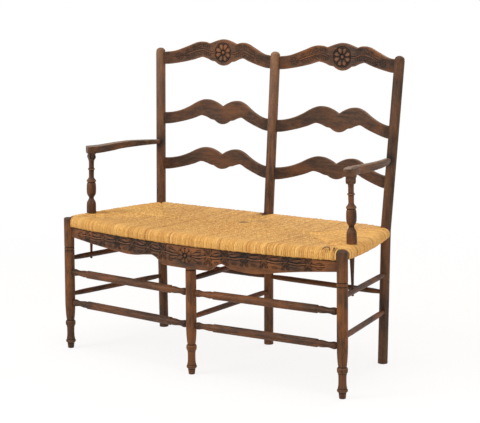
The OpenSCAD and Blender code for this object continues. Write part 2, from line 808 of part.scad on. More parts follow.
// Height and radius of the turned support: its peg, its shaft, and what stands over the seat.
function support_profile(side) =
    let (
        peg_low = support_foot(side)[2] - stretcher_d / 2 - peg_nub,
        wide = support_d / 2, neck = neck_d / 2, head = arm_low - 2 * scroll_r)
    [[peg_low, peg_d / 2 - 1],
    [peg_low + 2, peg_d / 2],
    [side_upper_h + 12, peg_d / 2],
    [rush_low - 8, shaft_d / 2],
    [rush_top + rush_gap, shaft_d / 2],
    [rush_top + rush_gap, wide - 0.8],
    [rush_top + 4, wide],
    [rush_top + 30, wide - 0.3],
    [rush_top + 36, wide - 1.2],
    [rush_top + 41, wide - 3],
    [rush_top + 45, wide - 5.5],
    [rush_top + 49, neck + 0.4],
    [rush_top + 52, neck - 0.4],
    [rush_top + 55, neck + 0.2],
    [rush_top + 59, wide - 5],
    [rush_top + 64, wide - 2],
    [rush_top + 70, wide - 0.5],
    [rush_top + 80, wide],
    [rush_top + 92, wide - 0.2],
    [rush_top + 102, wide - 1],
    [rush_top + 105, wide - 2.2],
    [rush_top + 108, wide - 1.4],
    [rush_top + 111, wide - 0.6],
    [rush_top + 114, wide - 1.6],
    [rush_top + 117, wide - 4],
    [rush_top + 121, neck + 0.6],
    [rush_top + 126, neck - 0.2],
    [head - 41, neck],
    [head - 39.5, neck + 2.2],
    [head - 37.5, neck + 3],
    [head - 35.5, neck + 2.2],
    [head - 34, neck],
    [head - 12, neck],
    [head - 7, neck + 1],
    [head - 3, neck + 3],
    [head + 1, neck + 3.6]];

module arm_scroll(grow) {
    translate(support_top(RIGHT)) rotate([0, 0, arm_yaw]) translate([0, 0, -scroll_r]) rotate([0, 90, 0])
        translate([0, 0, -scroll_w / 2 - grow]) cylinder(h = scroll_w + 2 * grow, r = scroll_r + grow);
}

module arm_support(side) {
    profile = support_profile(side);
    foot = support_at(side, profile[0][0]);
    axis = support_top(side) - foot;
    color(oak) union() {
        difference() {
            translate(foot) aim(axis) translate([0, 0, -profile[0][0]]) rotate_extrude() polygon(concat(
                [[0, profile[0][0]]], [for (p = profile) [p[1], p[0]]],
                [[0, profile[len(profile) - 1][0]]]));
            mirror([side == LEFT ? 1 : 0, 0, 0]) arm_scroll(fit);
        }
        support_tenon(side, arm_socket_r, arm_socket_h);
    }
}

module arm_support_left() {
    arm_support(LEFT);
}

module arm_support_right() {
    arm_support(RIGHT);
}

// Each station along an arm, from the post forwards: share of the way from the support to the post, swing
// outwards as a share of arm_swing, width, drop of the top, rise of the inner lower edge, rise of the outer
// lower edge, and turn in degrees.
arm_stations = [
    [0.985, -0.5, arm_w - 1, 9.8, 6, 3.5, 18],
    [0.79, 0.47, arm_w, 6.5, 6, 2, 17],
    [0.62, 1, arm_w, 3.5, 6.5, 0.5, 11],
    [0.44, 0.96, arm_w, 1.5, 5, 0, 3],
    [0.29, 0.42, arm_w + 2, 1, 2, 0, -3],
    [0.15, -0.25, arm_w + 5, 0.5, 0.5, 0, 2],
    [0.085, -0.34, arm_block_w - 5, 0, 0, 0, 16],
    [0.03, -0.3, arm_block_w - 1, 0, 0, 0, 32],
    [-0.05, 0.32, arm_block_w, 0, 0, 0, arm_yaw]
];

function station_centre(s) =
    let (a = support_top(RIGHT), b = post_at(RIGHT, arm_low))
    [a[0] + (b[0] - a[0]) * s[0] + s[1] * arm_swing, a[1] + (b[1] - a[1]) * s[0], 0];
function station_ring(s) =
    let (
        centre = station_centre(s), w = s[2] / 2, c = arm_edge, out = [cos(s[6]), sin(s[6])],
        top = arm_h - s[3], inner = arm_low + s[4], outer = arm_low + s[5],
        flat = [[-w, inner + c], [c - w, inner], [w - c, outer], [w, outer + c],
            [w, top - c], [w - c, top], [c - w, top], [-w, top - c]])
    [for (p = flat) [centre[0] + out[0] * p[0], centre[1] + out[1] * p[0], p[1]]];

// A closed skin over rings of points that run anticlockwise, seen from the last ring's side.
module skin(rings) {
    n = len(rings[0]);
    m = len(rings);
    mids = [for (r = [rings[0], rings[m - 1]]) [for (k = [0 : 2]) [for (q = r) q[k]] * [for (q = r) 1 / n]]];
    polyhedron(
        points = concat([for (r = rings) each r], mids),
        faces = concat(
            [for (i = [0 : n - 1]) [m * n, i, (i + 1) % n]],
            [for (r = [0 : m - 2], i = [0 : n - 1])
                let (a = r * n + i, b = r * n + (i + 1) % n)
                each [[a, a + n, b + n], [a, b + n, b]]],
            [for (i = [0 : n - 1]) [m * n + 1, (m - 1) * n + (i + 1) % n, (m - 1) * n + i]]));
}

module arm_tenon(side, grow) {
    mirror([side == LEFT ? 1 : 0, 0, 0]) {
        inside = post_at(RIGHT, arm_h - arm_tail_drop);
        ahead = station_centre(arm_stations[1]) + [0, 0, arm_h - arm_tail_drop + 2];
        translate(slide(inside, ahead, tenon_stop - grow)) aim(ahead - inside)
            cylinder(h = 2 * post_r, r = arm_tenon_r + grow);
    }
}

module arm(side) {
    color(oak_light) {
        mirror([side == LEFT ? 1 : 0, 0, 0]) difference() {
            union() {
                skin([for (s = curve(arm_stations, 3)) station_ring(s)]);
                arm_scroll(0);
                translate(support_top(RIGHT)) rotate([0, 0, arm_yaw])
                    translate([-scroll_w / 2 + 1, -scroll_r - 2, -4]) cube([scroll_w - 2, 2 * scroll_r + 4, 8]);
            }
            bar_between(post_at(RIGHT, arm_low - arm_t), post_at(RIGHT, arm_h + arm_t), post_r + fit, 0);
            support_tenon(RIGHT, arm_socket_r + fit, arm_socket_h + hair);
        }
        arm_tenon(side, 0);
    }
}

module arm_left() {
    arm(LEFT);
}

module arm_right() {
    arm(RIGHT);
}

// Rush seat, wrapped round the four rails, and the straw between its two layers

roll_depth = 22;                        // how far in from its edge a roll reaches its full height
side_out = [leg_r, 0.8, 0.75];          // overhang at the leg, and shares of side_swell at the post and mid way
back_out = 17;                          // overhang of the back roll behind the post centres
rail_line = post_at(RIGHT, rail_z) - leg_at(RIGHT, rail_z);

// Half the seat's outline from the middle of the front round to the middle of the back: x, y and sag.
function rush_side(t) =
    let (
        on = leg_at(RIGHT, rail_z) + rail_line * t, n = unit([rail_line[1], -rail_line[0]]),
        w = side_out[0] + side_swell * (side_out[1] * t + side_out[2] * sin(180 * t)))
    [on[0] + n[0] * w, on[1] + n[1] * w, side_sag * sin(180 * t)];
function rush_front(u) =
    let (x = u * front_w / 2, r = bow_r + rush_proud)
    [x, bow_y - sqrt(r * r - x * x), 0];
rush_half = concat(
    [for (u = [0, 0.12, 0.24, 0.36, 0.48, 0.6, 0.72, 0.84, 0.93, 0.975]) rush_front(u)],
    [[leg_at(RIGHT, rail_z)[0], leg_y, 0]],
    [for (t = [0.03, 0.07, 0.14, 0.24, 0.36, 0.5, 0.64, 0.78, 0.9, 0.965, 1.0]) rush_side(t)],
    [[post_at(RIGHT, rail_z)[0], post_y, 0]],
    [for (u = [0.955, 0.85, 0.68, 0.51, 0.34, 0.17, 0]) [u * back_w / 2, post_y + back_out, 0]]);
rush_outline = concat(rush_half, [for (i = [len(rush_half) - 1 : -1 : 0]) if (rush_half[i][0] > 0)
    [-rush_half[i][0], rush_half[i][1], rush_half[i][2]]]);

// The point on the seat's long middle seam that an outline point looks to.
function rush_spine(p) = [p[0] * 0.55, leg_y + seat_d * 0.48];
function flat2(p) = [p[0], p[1]];
function rush_ring(share, depth, up, dip) = [
    for (p = rush_outline)
        let (
            roll_in = flat2(p) + unit(rush_spine(p) - flat2(p)) * depth,
            q = roll_in + (rush_spine(p) - roll_in) * share,
            low = rush_low - p[2] * (1 - share))
        [q[0], q[1], low + (rush_top - low) * up - dip]];
roll_steps = [-75, -50, -25, 0, 25, 50, 75];

module rush_body() {
    skin(concat(
        [rush_ring(0.7, roll_depth, 0, 0), rush_ring(0.3, roll_depth, 0, 0), rush_ring(0, roll_depth, 0, 0)],
        [for (a = roll_steps) rush_ring(0, roll_depth * (1 - cos(a)), 0.5 + 0.5 * sin(a), 0)],
        [rush_ring(0, roll_depth, 1, 0), rush_ring(0.12, roll_depth, 1, seat_dip * 0.22),
            rush_ring(0.35, roll_depth, 1, seat_dip * 0.75), rush_ring(0.7, roll_depth, 1, seat_dip)]));
}

straw_inset = 8;                        // how far the straw lies in from the rails
straw_low = 8;                          // how far it reaches under the rails' centres
straw_high = 6;                         // how far it reaches over them

module straw_shape(grow) {
    front = leg_at(RIGHT, rail_z) - rail_line * 0.2;
    rear = leg_at(RIGHT, rail_z) + rail_line * (1 - (back_rail_d / 2 + straw_inset) / seat_d);
    in = side_rail_d / 2 + straw_inset - grow;
    reach = bow_r - front_rail_w - straw_inset + grow;
    half = [[front[0] - in, front[1]], [rear[0] - in, rear[1] + grow]];
    translate([0, 0, rail_z - straw_low - grow]) intersection() {
        linear_extrude(straw_low + straw_high + 2 * grow) polygon(concat(half, flip(half)));
        translate([0, bow_y, 0]) cylinder(h = straw_low + straw_high + 2 * grow, r = reach, $fn = 720);
    }
}

module rush_seat() {
    color(straw) difference() {
        rush_body();
        for (side = [LEFT, RIGHT]) {
            bar_between(leg_at(side, rush_low - rush_t), leg_at(side, rush_top + rush_t), leg_r + rush_gap, 0);
            bar_between(leg_at(side, rail_z), post_at(side, rail_z), side_rail_d / 2 + rush_gap, 0);
            bar_between(post_at(MIDDLE, rail_z), post_at(side, rail_z), back_rail_d / 2 + rush_gap, 0);
            bar_between(support_at(side, rush_low - rush_t), support_at(side, rush_top + rush_t),
                shaft_d / 2 + rush_gap, 0);
        }
        for (side = [LEFT, MIDDLE, RIGHT]) {
            bar_between(post_at(side, rush_low - rush_t), post_at(side, rush_top + rush_t), post_r + rush_gap, 0);
        }
        front_rail_body(rush_gap);
        translate([0, leg_y - middle_leg_ahead, rush_low - rush_t])
            cylinder(h = middle_leg_top + rush_gap - rush_low + rush_t, r = leg_r + rush_gap);
        straw_shape(rush_gap);
    }
}

module straw_filling() {
    color(straw) straw_shape(0);
}

front_leg_left();
front_leg_middle();
front_leg_right();
back_post_left();
back_post_middle();
back_post_right();
crest_rail_left();
crest_rail_right();
middle_slat_left();
middle_slat_right();
lower_slat_left();
lower_slat_right();
front_apron();
apron_dowels();
front_seat_rail();
side_seat_rail_left();
side_seat_rail_right();
back_seat_rail_left();
back_seat_rail_right();
front_stretcher_upper_left();
front_stretcher_upper_right();
front_stretcher_lower_left();
front_stretcher_lower_right();
side_stretcher_upper_left();
side_stretcher_upper_right();
side_stretcher_lower_left();
side_stretcher_lower_right();
middle_stretcher_upper();
middle_stretcher_lower();
back_stretcher_left();
back_stretcher_right();
arm_left();
arm_right();
arm_support_left();
arm_support_right();
rush_seat();
straw_filling();
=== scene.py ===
import bpy
import bmesh
import math
import numpy as np
from mathutils import Matrix, Vector


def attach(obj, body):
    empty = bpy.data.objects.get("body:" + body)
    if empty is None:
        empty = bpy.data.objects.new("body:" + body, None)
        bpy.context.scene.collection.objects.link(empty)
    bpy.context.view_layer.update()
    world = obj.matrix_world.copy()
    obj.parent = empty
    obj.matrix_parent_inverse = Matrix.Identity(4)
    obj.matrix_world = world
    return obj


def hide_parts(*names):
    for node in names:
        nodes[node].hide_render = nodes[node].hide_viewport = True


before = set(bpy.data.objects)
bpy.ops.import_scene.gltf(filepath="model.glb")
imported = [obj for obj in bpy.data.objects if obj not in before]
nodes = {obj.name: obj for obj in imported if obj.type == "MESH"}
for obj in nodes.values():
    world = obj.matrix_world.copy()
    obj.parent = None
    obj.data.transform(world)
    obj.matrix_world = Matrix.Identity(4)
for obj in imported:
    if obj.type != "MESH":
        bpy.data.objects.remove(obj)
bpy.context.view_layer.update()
scene = bpy.context.scene
print("frame loaded:", len(nodes), "nodes")


def addObject(name, data):
    obj = bpy.data.objects.new(name, data)
    scene.collection.objects.link(obj)
    return obj


# Camera, at the photograph's viewing angle
photoCamera = {
    "place": (2.606, -3.8172, 1.2768), "target": (-0.0046, 0.0323, 0.4831), "roll": -0.2377, "lens": 107.47,
    "sensor": 36, "clip": (0.05, 60),
}


def makeCamera(setup):
    place = Vector(setup["place"])
    back = (place - Vector(setup["target"])).normalized()
    right = Vector((0, 0, 1)).cross(back).normalized()
    up = back.cross(right)
    roll = math.radians(setup["roll"])
    tiltedRight = right * math.cos(roll) + up * math.sin(roll)
    tiltedUp = up * math.cos(roll) - right * math.sin(roll)
    turn = Matrix((tiltedRight, tiltedUp, back)).transposed().to_4x4()
    cam = bpy.data.cameras.new("camera")
    cam.lens, cam.sensor_width = setup["lens"], setup["sensor"]
    cam.clip_start, cam.clip_end = setup["clip"]
    scene.camera = addObject("camera", cam)
    scene.camera.matrix_world = Matrix.Translation(place) @ turn


makeCamera(photoCamera)

# Sizes that several pieces share, in metres, as in the part's source
seat = {
    "legTop": 0.450, "frontHalf": 0.529, "backHalf": 0.4525, "depth": 0.411, "legY": -0.21781,
    "legSplay": 0.0045, "postTuck": 0.0055, "legR": 0.017, "postR": 0.0165,
    "backTop": 0.998, "backRake": 0.038, "backFlare": 0.0215, "middleOff": 0.0035, "middleLean": 0.0035,
    "rushTop": 0.455, "rushThick": 0.036, "rushProud": 0.006,
    "faceAhead": 0.005, "frontBow": 0.058, "bowHalf": 0.517,
}
seat["bowRadius"] = (seat["bowHalf"] ** 2 + seat["frontBow"] ** 2) / (2 * seat["frontBow"])
seat["postY"] = seat["legY"] + seat["depth"]
seat["bowY"] = seat["legY"] - seat["faceAhead"] - seat["frontBow"] + seat["bowRadius"]
seat["railZ"] = seat["rushTop"] - seat["rushThick"] / 2
seat["rushLow"] = seat["rushTop"] - seat["rushThick"]


def postAt(side, z):
    k = max(0.0, (z - seat["legTop"]) / (seat["backTop"] - seat["legTop"]))
    y = seat["postY"] + seat["backRake"] * k
    if side == 0:
        return Vector((seat["middleOff"] + seat["middleLean"] * k, y, z))
    tuck = seat["postTuck"] * max(0.0, 1 - z / seat["legTop"])
    return Vector((side * (seat["backHalf"] + seat["backFlare"] * k - tuck), y, z))


def legAt(side, z):
    return Vector((side * (seat["frontHalf"] + seat["legSplay"] * (1 - z / seat["legTop"])), seat["legY"], z))


def sideName(stem, side):
    return stem + ("_left" if side < 0 else "_right")


def smoothCurve(points, steps=5):
    # a smooth line through the points, as the source draws its outlines
    p = np.array(points, float)
    ends = np.vstack([2 * p[0] - p[1], p, 2 * p[-1] - p[-2]])
    out = []
    for i in range(len(p) - 1):
        a, b, c, d = ends[i:i + 4]
        for j in range(steps):
            t = j / steps
            out.append(0.5 * (2 * b + (c - a) * t + (2 * a - 5 * b + 4 * c - d) * t * t
                              + (3 * b - a - 3 * c + d) * t ** 3))
    out.append(p[-1])
    return np.array(out)


def smoothStep(low, high, x):
    t = np.clip((x - low) / (high - low), 0, 1)
    return t * t * (3 - 2 * t)


def rampDown(x, width):
    # 1 at x = 0, falling to 0 on both sides at the given width
    return np.clip(1 - np.abs(x) / width, 0, 1)


def smoothFaces(mesh, angle=None):
    mesh.polygons.foreach_set("use_smooth", [True] * len(mesh.polygons))
    if angle:
        mesh.set_sharp_from_angle(angle=math.radians(angle))


def addPiece(name, mesh, material, replaced=()):
    obj = addObject(name, mesh)
    mesh.materials.append(material)
    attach(obj, "root")
    if replaced:
        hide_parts(*replaced)


def meshOf(bm, name):
    mesh = bpy.data.meshes.new(name)
    bm.to_mesh(mesh)
    bm.free()
    return mesh


def gridMesh(name, columns, rows, place):
    # a grid of columns by rows vertices, each moved by place(array of column numbers, array of row numbers)
    bm = bmesh.new()
    bmesh.ops.create_grid(bm, x_segments=columns - 1, y_segments=rows - 1, size=0.5)
    mesh = meshOf(bm, name)
    flat = np.zeros(len(mesh.vertices) * 3)
    mesh.vertices.foreach_get("co", flat)
    flat = flat.reshape(-1, 3)
    col = np.rint((flat[:, 0] + 0.5) * (columns - 1)).astype(int)
    row = np.rint((flat[:, 1] + 0.5) * (rows - 1)).astype(int)
    x, y, z, marks = place(col, row)
    mesh.vertices.foreach_set("co", np.column_stack([x, y, z]).astype(np.float32).ravel())
    for key, values in marks.items():
        if key == "uv":
            layer = mesh.uv_layers.new(name="strand")
            corner = np.zeros(len(mesh.loops), int)
            mesh.loops.foreach_get("vertex_index", corner)
            layer.data.foreach_set("uv", np.column_stack(values)[corner].astype(np.float32).ravel())
        else:
            layer = mesh.attributes.new(key, "FLOAT", "POINT")
            layer.data.foreach_set("value", values.astype(np.float32))
    return mesh


def wrappedMesh(name, columns, around, place):
    # a grid whose rows run all the way round a bar, joined where they meet and closed at both ends
    mesh = gridMesh(name, columns, around + 1, lambda col, row: place(col, row % around))
    bm = bmesh.new()
    bm.from_mesh(mesh)
    bmesh.ops.remove_doubles(bm, verts=bm.verts, dist=0.00001)
    bmesh.ops.holes_fill(bm, edges=[edge for edge in bm.edges if edge.is_boundary], sides=0)
    bmesh.ops.recalc_face_normals(bm, faces=bm.faces)
    bm.to_mesh(mesh)
    bm.free()
    smoothFaces(mesh)
    return mesh


# Shader helpers
def shade(red, green, blue):
    # a colour as it shows on a screen, 0 to 255, turned into the values that a socket takes
    values = (v / 255 for v in (red, green, blue))
    return tuple(((v + 0.055) / 1.055) ** 2.4 if v > 0.04 else v / 12.92 for v in values) + (1,)


def feed(tree, socket, value):
    if isinstance(value, bpy.types.NodeSocket):
        tree.links.new(value, socket)
    else:
        socket.default_value = value


def addNode(tree, kind, feeds=None, **settings):
    # a node with its settings; feeds gives a value or another node's output for each socket
    node = tree.nodes.new(kind)
    for key, value in settings.items():
        setattr(node, key, value)
    for key, value in (feeds or {}).items():
        feed(tree, node.inputs[key], value)
    return node


def mathNode(tree, operation, *values):
    return addNode(tree, "ShaderNodeMath", dict(enumerate(values)), operation=operation).outputs[0]


def times(tree, a, b):
    return mathNode(tree, "MULTIPLY", a, b)


def plus(tree, a, b):
    return mathNode(tree, "ADD", a, b)


def remap(tree, value, low, high, to=(0.0, 1.0)):
    feeds = {"Value": value, "From Min": low, "From Max": high, "To Min": to[0], "To Max": to[1]}
    return addNode(tree, "ShaderNodeMapRange", feeds, clamp=True).outputs["Result"]


def noise(tree, vector, stretch, detail=2.0, rough=0.5):
    # noise on a vector that is first stretched along each axis
    scaled = addNode(tree, "ShaderNodeVectorMath", {0: vector, 1: stretch}, operation="MULTIPLY")
    return addNode(tree, "ShaderNodeTexNoise", {"Scale": 1, "Detail": detail, "Roughness": rough,
                                                "Vector": scaled.outputs[0]}).outputs[0]


def mottle(tree, vector, stretch, detail, rough, low, high, to=(0.0, 1.0)):
    # noise of which only the span between low and high counts
    return remap(tree, noise(tree, vector, stretch, detail, rough), low, high, to)


def blendColour(tree, share, first, second):
    return addNode(tree, "ShaderNodeMix", {6: first, 7: second, "Factor": share}, data_type="RGBA").outputs[2]


def layered(tree, colour, layers):
    # paints one (share, colour) after another over a colour
    for share, paint in layers:
        socket = isinstance(paint, bpy.types.NodeSocket)
        colour = blendColour(tree, share, colour, paint if socket else shade(*paint))
    return colour


def objectSpace(tree):
    return addNode(tree, "ShaderNodeTexCoord").outputs["Object"]


def attributeOf(tree, title):
    return addNode(tree, "ShaderNodeAttribute", attribute_name=title).outputs["Fac"]


def partsOf(tree, vector):
    return addNode(tree, "ShaderNodeSeparateXYZ", {0: vector}).outputs


def distanceFrom(tree, where, place):
    return addNode(tree, "ShaderNodeVectorMath", {0: where, 1: place}, operation="DISTANCE").outputs["Value"]


def emptyTree(owner):
    owner.use_nodes = True
    owner.node_tree.nodes.clear()
    return owner.node_tree


def newMaterial(name):
    mat = bpy.data.materials.new(name)
    mat.use_nodes = True
    return mat, mat.node_tree, mat.node_tree.nodes["Principled BSDF"].inputs


def addBump(tree, shader, height, strength, distance):
    bump = addNode(tree, "ShaderNodeBump", {"Strength": strength, "Distance": distance, "Height": height})
    tree.links.new(bump.outputs["Normal"], shader["Normal"])


def newGroup(name, takes, gives):
    group = bpy.data.node_groups.new(name, "ShaderNodeTree")
    for title, kind, value in takes:
        socket = group.interface.new_socket(title, in_out="INPUT", socket_type="NodeSocket" + kind)
        if value is not None:
            socket.default_value = value
    for title, kind in gives:
        group.interface.new_socket(title, in_out="OUTPUT", socket_type="NodeSocket" + kind)
    return group, group.nodes.new("NodeGroupInput").outputs, group.nodes.new("NodeGroupOutput").inputs


# Light and floor
studio = {
    "floorSize": 30.0, "floorDrop": 0.0004, "floorColour": (0.84, 0.79, 0.74, 1), "white": (1, 1, 1, 1),
    "floorGlow": 0.84,      # share of plain white in what the camera sees of the floor, all of it far away
    "glowFrom": 1.0, "glowTo": 2.6, "worldStrength": 0.46, "aim": (0, 0, 0.45),
    # place, size, power
    "lamps": [((-2.4, -3.4, 2.7), 2.0, 135), ((3.4, -2.0, 1.9), 2.4, 50), ((0.3, -0.4, 3.6), 2.4, 62),
              ((0.5, 3.2, 2.8), 2.6, 44)],
}


def mixedShader(tree, share, first, second):
    feeds = {"Fac": share, 1: first.outputs[0], 2: second.outputs[0]}
    return addNode(tree, "ShaderNodeMixShader", feeds).outputs[0]


def makeWorld(setup):
    scene.world = bpy.data.worlds.new("studio")
    tree = emptyTree(scene.world)
    path = addNode(tree, "ShaderNodeLightPath")
    light, seen = (addNode(tree, "ShaderNodeBackground", {"Color": setup["white"], "Strength": strength})
                   for strength in (setup["worldStrength"], 1))
    surface = mixedShader(tree, path.outputs["Is Camera Ray"], light, seen)
    addNode(tree, "ShaderNodeOutputWorld", {"Surface": surface})


def makeLamps(setup):
    for number, (place, size, power) in enumerate(setup["lamps"]):
        data = bpy.data.lights.new("lamp%d" % number, "AREA")
        data.energy, data.size = power, size
        lamp = addObject("lamp%d" % number, data)
        lamp.location = place
        lamp.rotation_mode = "QUATERNION"
        lamp.rotation_quaternion = (Vector(setup["aim"]) - Vector(place)).to_track_quat("-Z", "Y")


def makeFloor(setup):
    bm = bmesh.new()
    bmesh.ops.create_grid(bm, x_segments=1, y_segments=1, size=setup["floorSize"] / 2)
    floor = addObject("floor", meshOf(bm, "floor"))
    floor.location.z = -setup["floorDrop"]
    mat = bpy.data.materials.new("floor")
    tree = emptyTree(mat)
    path = addNode(tree, "ShaderNodeLightPath").outputs
    away = addNode(tree, "ShaderNodeVectorMath", {0: objectSpace(tree)}, operation="LENGTH").outputs["Value"]
    fade = remap(tree, away, setup["glowFrom"], setup["glowTo"], (setup["floorGlow"], 1))
    share = times(tree, mathNode(tree, "MAXIMUM", path["Is Camera Ray"], path["Is Glossy Ray"]), fade)
    lit = addNode(tree, "ShaderNodeBsdfDiffuse", {"Color": setup["floorColour"]})
    glow = addNode(tree, "ShaderNodeEmission", {"Strength": 1})
    addNode(tree, "ShaderNodeOutputMaterial", {"Surface": mixedShader(tree, share, lit, glow)})
    floor.data.materials.append(mat)


makeWorld(studio)
makeLamps(studio)
makeFloor(studio)
scene.view_settings.view_transform = "Standard"
print("camera, lamps and floor made")

# Wood grain, with its long lines along Z of the vector that comes in, in metres
grain, takes, gives = newGroup("woodGrain", [
    ("Vector", "Vector", None), ("Base", "Color", shade(106, 78, 60)), ("Deep", "Color", shade(66, 50, 42)),
    ("Warm", "Color", shade(134, 92, 62)), ("Warmth", "Float", 0.5),
], [("Color", "Color"), ("Height", "Float")])
streak = mottle(grain, takes["Vector"], (120, 120, 6.5), 4, 0.65, 0.39, 0.61)
fine = mottle(grain, takes["Vector"], (620, 620, 16), 3, 0.6, 0.38, 0.62)
pores = mottle(grain, takes["Vector"], (1500, 1500, 55), 1, 0.5, 0.34, 0.44)
blotch = mottle(grain, takes["Vector"], (13, 13, 7), 3, 0.55, 0.42, 0.66)
stain = mottle(grain, takes["Vector"], (34, 34, 8), 4, 0.7, 0.47, 0.66, (0.0, 0.66))
lines = plus(grain, times(grain, streak, 0.62), times(grain, fine, 0.38))
tone = blendColour(grain, lines, takes["Deep"], takes["Base"])
feed(grain, gives["Color"], layered(grain, tone, [
    (times(grain, blotch, takes["Warmth"]), takes["Warm"]), (stain, (36, 24, 17)),
    (remap(grain, pores, 0, 1, (0.5, 0.0)), (28, 20, 16))]))
feed(grain, gives["Height"], plus(grain, times(grain, fine, 0.45), times(grain, pores, 0.55)))

# Hand wear: a paler or darker colour where a mask says so, broken up by noise
wear, takes, gives = newGroup("handWear", [
    ("Vector", "Vector", None), ("Color", "Color", None), ("Worn", "Color", shade(150, 112, 82)),
    ("Mask", "Float", 0.0), ("Amount", "Float", 0.6),
], [("Color", "Color"), ("Mask", "Float")])
broken = mathNode(wear, "SUBTRACT", noise(wear, takes["Vector"], (70, 70, 70), 4, 0.65), 0.5)
raised = plus(wear, takes["Mask"], times(wear, broken, 1.1))
share = times(wear, remap(wear, raised, 0.25, 0.85), takes["Amount"])
feed(wear, gives["Color"], blendColour(wear, share, takes["Color"], takes["Worn"]))
feed(wear, gives["Mask"], share)


# Finishes of the wood: colours from 0 to 255, then how much of each effect there is
# painted shade on the back posts round the rear ends of the arms
armJointShade = [((side * 0.459, 0.196, 0.669), 0.027, 0.75) for side in (-1, 1)]    # place, radius, strength
darkFinish = {
    "base": (102, 68, 40), "deep": (43, 28, 18), "warm": (130, 80, 40), "warmth": 0.65,
    # recess is the colour of the painted shade in cuts, hollows and joints
    "worn": (142, 98, 60), "wornAmount": 0.5, "recess": (18, 12, 9), "rough": 0.52,
    "footDarkening": 0.0, "topDarkening": 0.0, "endShade": 0.0, "upperPaling": 0.0, "joints": [],
}
finishes = {
    "dark": darkFinish,
    "post": dict(darkFinish, base=(98, 66, 44), deep=(40, 27, 19), warm=(122, 77, 42), footDarkening=0.3,
                 joints=armJointShade, upperPaling=0.22),
    "darkPost": dict(darkFinish, base=(90, 61, 42), deep=(36, 25, 18), warm=(114, 73, 41), footDarkening=0.3,
                     joints=armJointShade),
    "palePost": dict(darkFinish, base=(120, 81, 53), deep=(60, 41, 27), warm=(146, 93, 51), upperPaling=0.28),
    "carved": dict(darkFinish, base=(90, 59, 38), deep=(40, 27, 18), warm=(130, 78, 38), worn=(134, 87, 48),
                   wornAmount=0.52),
    "apron": dict(darkFinish, base=(99, 66, 42), deep=(24, 17, 12), warm=(138, 82, 38), worn=(150, 95, 51),
                  wornAmount=0.52, warmth=0.75),
    "slat": dict(darkFinish, base=(90, 61, 39), deep=(48, 31, 20), warm=(118, 70, 34), wornAmount=0.25,
                 warmth=0.5),
    "leg": dict(darkFinish, base=(108, 68, 37), deep=(44, 27, 15), warm=(140, 82, 35), worn=(136, 91, 52),
                wornAmount=0.3, warmth=0.7, footDarkening=0.5, topDarkening=0.75),
    "bar": dict(darkFinish, base=(100, 64, 38), deep=(30, 19, 12), warm=(132, 77, 35), wornAmount=0.3),
    "frontBar": dict(darkFinish, base=(104, 68, 42), deep=(28, 19, 13), warm=(130, 78, 38), wornAmount=0.3,
                     endShade=0.42),
    "arm": dict(darkFinish, base=(102, 75, 56), worn=(148, 126, 107), wornAmount=0.62, warmth=0.6),
}
# Where the effects lie, in metres, and their colours
age = {
    "upper": (0.60, 0.90), "upperPaint": (158, 118, 90), "foot": (0.13, 0.01), "footPaint": (44, 31, 23),
    "top": (0.424, 0.446), "topPaint": (52, 41, 34), "outerEnd": (0.455, 0.505), "innerEnd": (0.060, 0.022),
    "cutFrom": (0.04, 0.8), "cutShare": 0.93, "wornSheen": 0.08, "cutSheen": 0.2,
    "specular": 0.24, "bump": 0.35, "bumpDepth": 0.0006,
}


def makeWood(name, alongAxis, finish):
    # alongAxis is the axis that the grain follows; finish gives the colours and how much the surface is worn
    mat, tree, shader = newMaterial(name)
    where = objectSpace(tree)
    quarter = math.radians(90)
    turn = {"x": (0, quarter, 0), "y": (quarter, 0, 0), "z": (0, 0, 0)}[alongAxis]
    along = addNode(tree, "ShaderNodeMapping", {"Rotation": turn, "Vector": where}).outputs["Vector"]
    base, deep, warm, wornPaint = (shade(*finish[key]) for key in ("base", "deep", "warm", "worn"))
    wood = addNode(tree, "ShaderNodeGroup", {"Vector": along, "Base": base, "Deep": deep, "Warm": warm,
                                             "Warmth": finish["warmth"]}, node_tree=grain).outputs
    cut = attributeOf(tree, "cut")
    worn = addNode(tree, "ShaderNodeGroup", {
        "Vector": where, "Color": wood["Color"], "Worn": wornPaint, "Mask": attributeOf(tree, "edge"),
        "Amount": finish["wornAmount"]}, node_tree=wear).outputs
    recess = finish["recess"]
    # painted shade in the recess colour where the cut mark says: cuts, hollows, joints and the apron under
    # the rush
    layers = [(remap(tree, cut, *age["cutFrom"], (0.0, age["cutShare"])), recess)]
    # painted shade where the arms go into the posts
    for place, size, strength in finish["joints"]:
        away = distanceFrom(tree, where, place)
        layers.append((remap(tree, away, size, 0.5 * size, (0.0, strength)), recess))
    parts = partsOf(tree, where)
    # paler towards the top of the posts
    if finish["upperPaling"]:
        layers.append((remap(tree, parts["Z"], *age["upper"], (0.0, finish["upperPaling"])), age["upperPaint"]))
    if finish["endShade"]:
        # the bars between the front legs get painted shade at both ends, and in the middle where the next bay
        # starts
        off = mathNode(tree, "ABSOLUTE", parts["X"])
        ends = [remap(tree, off, *age[key], (0.0, finish["endShade"])) for key in ("outerEnd", "innerEnd")]
        layers.append((plus(tree, *ends), recess))
    if finish["footDarkening"]:
        # darker towards the floor, and a darker, blotchy band near the top of the legs
        layers.append((remap(tree, parts["Z"], *age["foot"], (0.0, finish["footDarkening"])), age["footPaint"]))
        blotchy = mottle(tree, where, (160, 160, 160), 3, 0.6, 0.3, 0.6)
        onTop = remap(tree, parts["Z"], *age["top"], (0.0, finish["topDarkening"]))
        layers.append((times(tree, onTop, blotchy), age["topPaint"]))
    feed(tree, shader["Base Color"], layered(tree, worn["Color"], layers))
    sheen = mathNode(tree, "SUBTRACT", finish["rough"], times(tree, worn["Mask"], age["wornSheen"]))
    feed(tree, shader["Roughness"], plus(tree, sheen, times(tree, cut, age["cutSheen"])))
    shader["Specular IOR Level"].default_value = age["specular"]
    addBump(tree, shader, wood["Height"], age["bump"], age["bumpDepth"])
    return mat


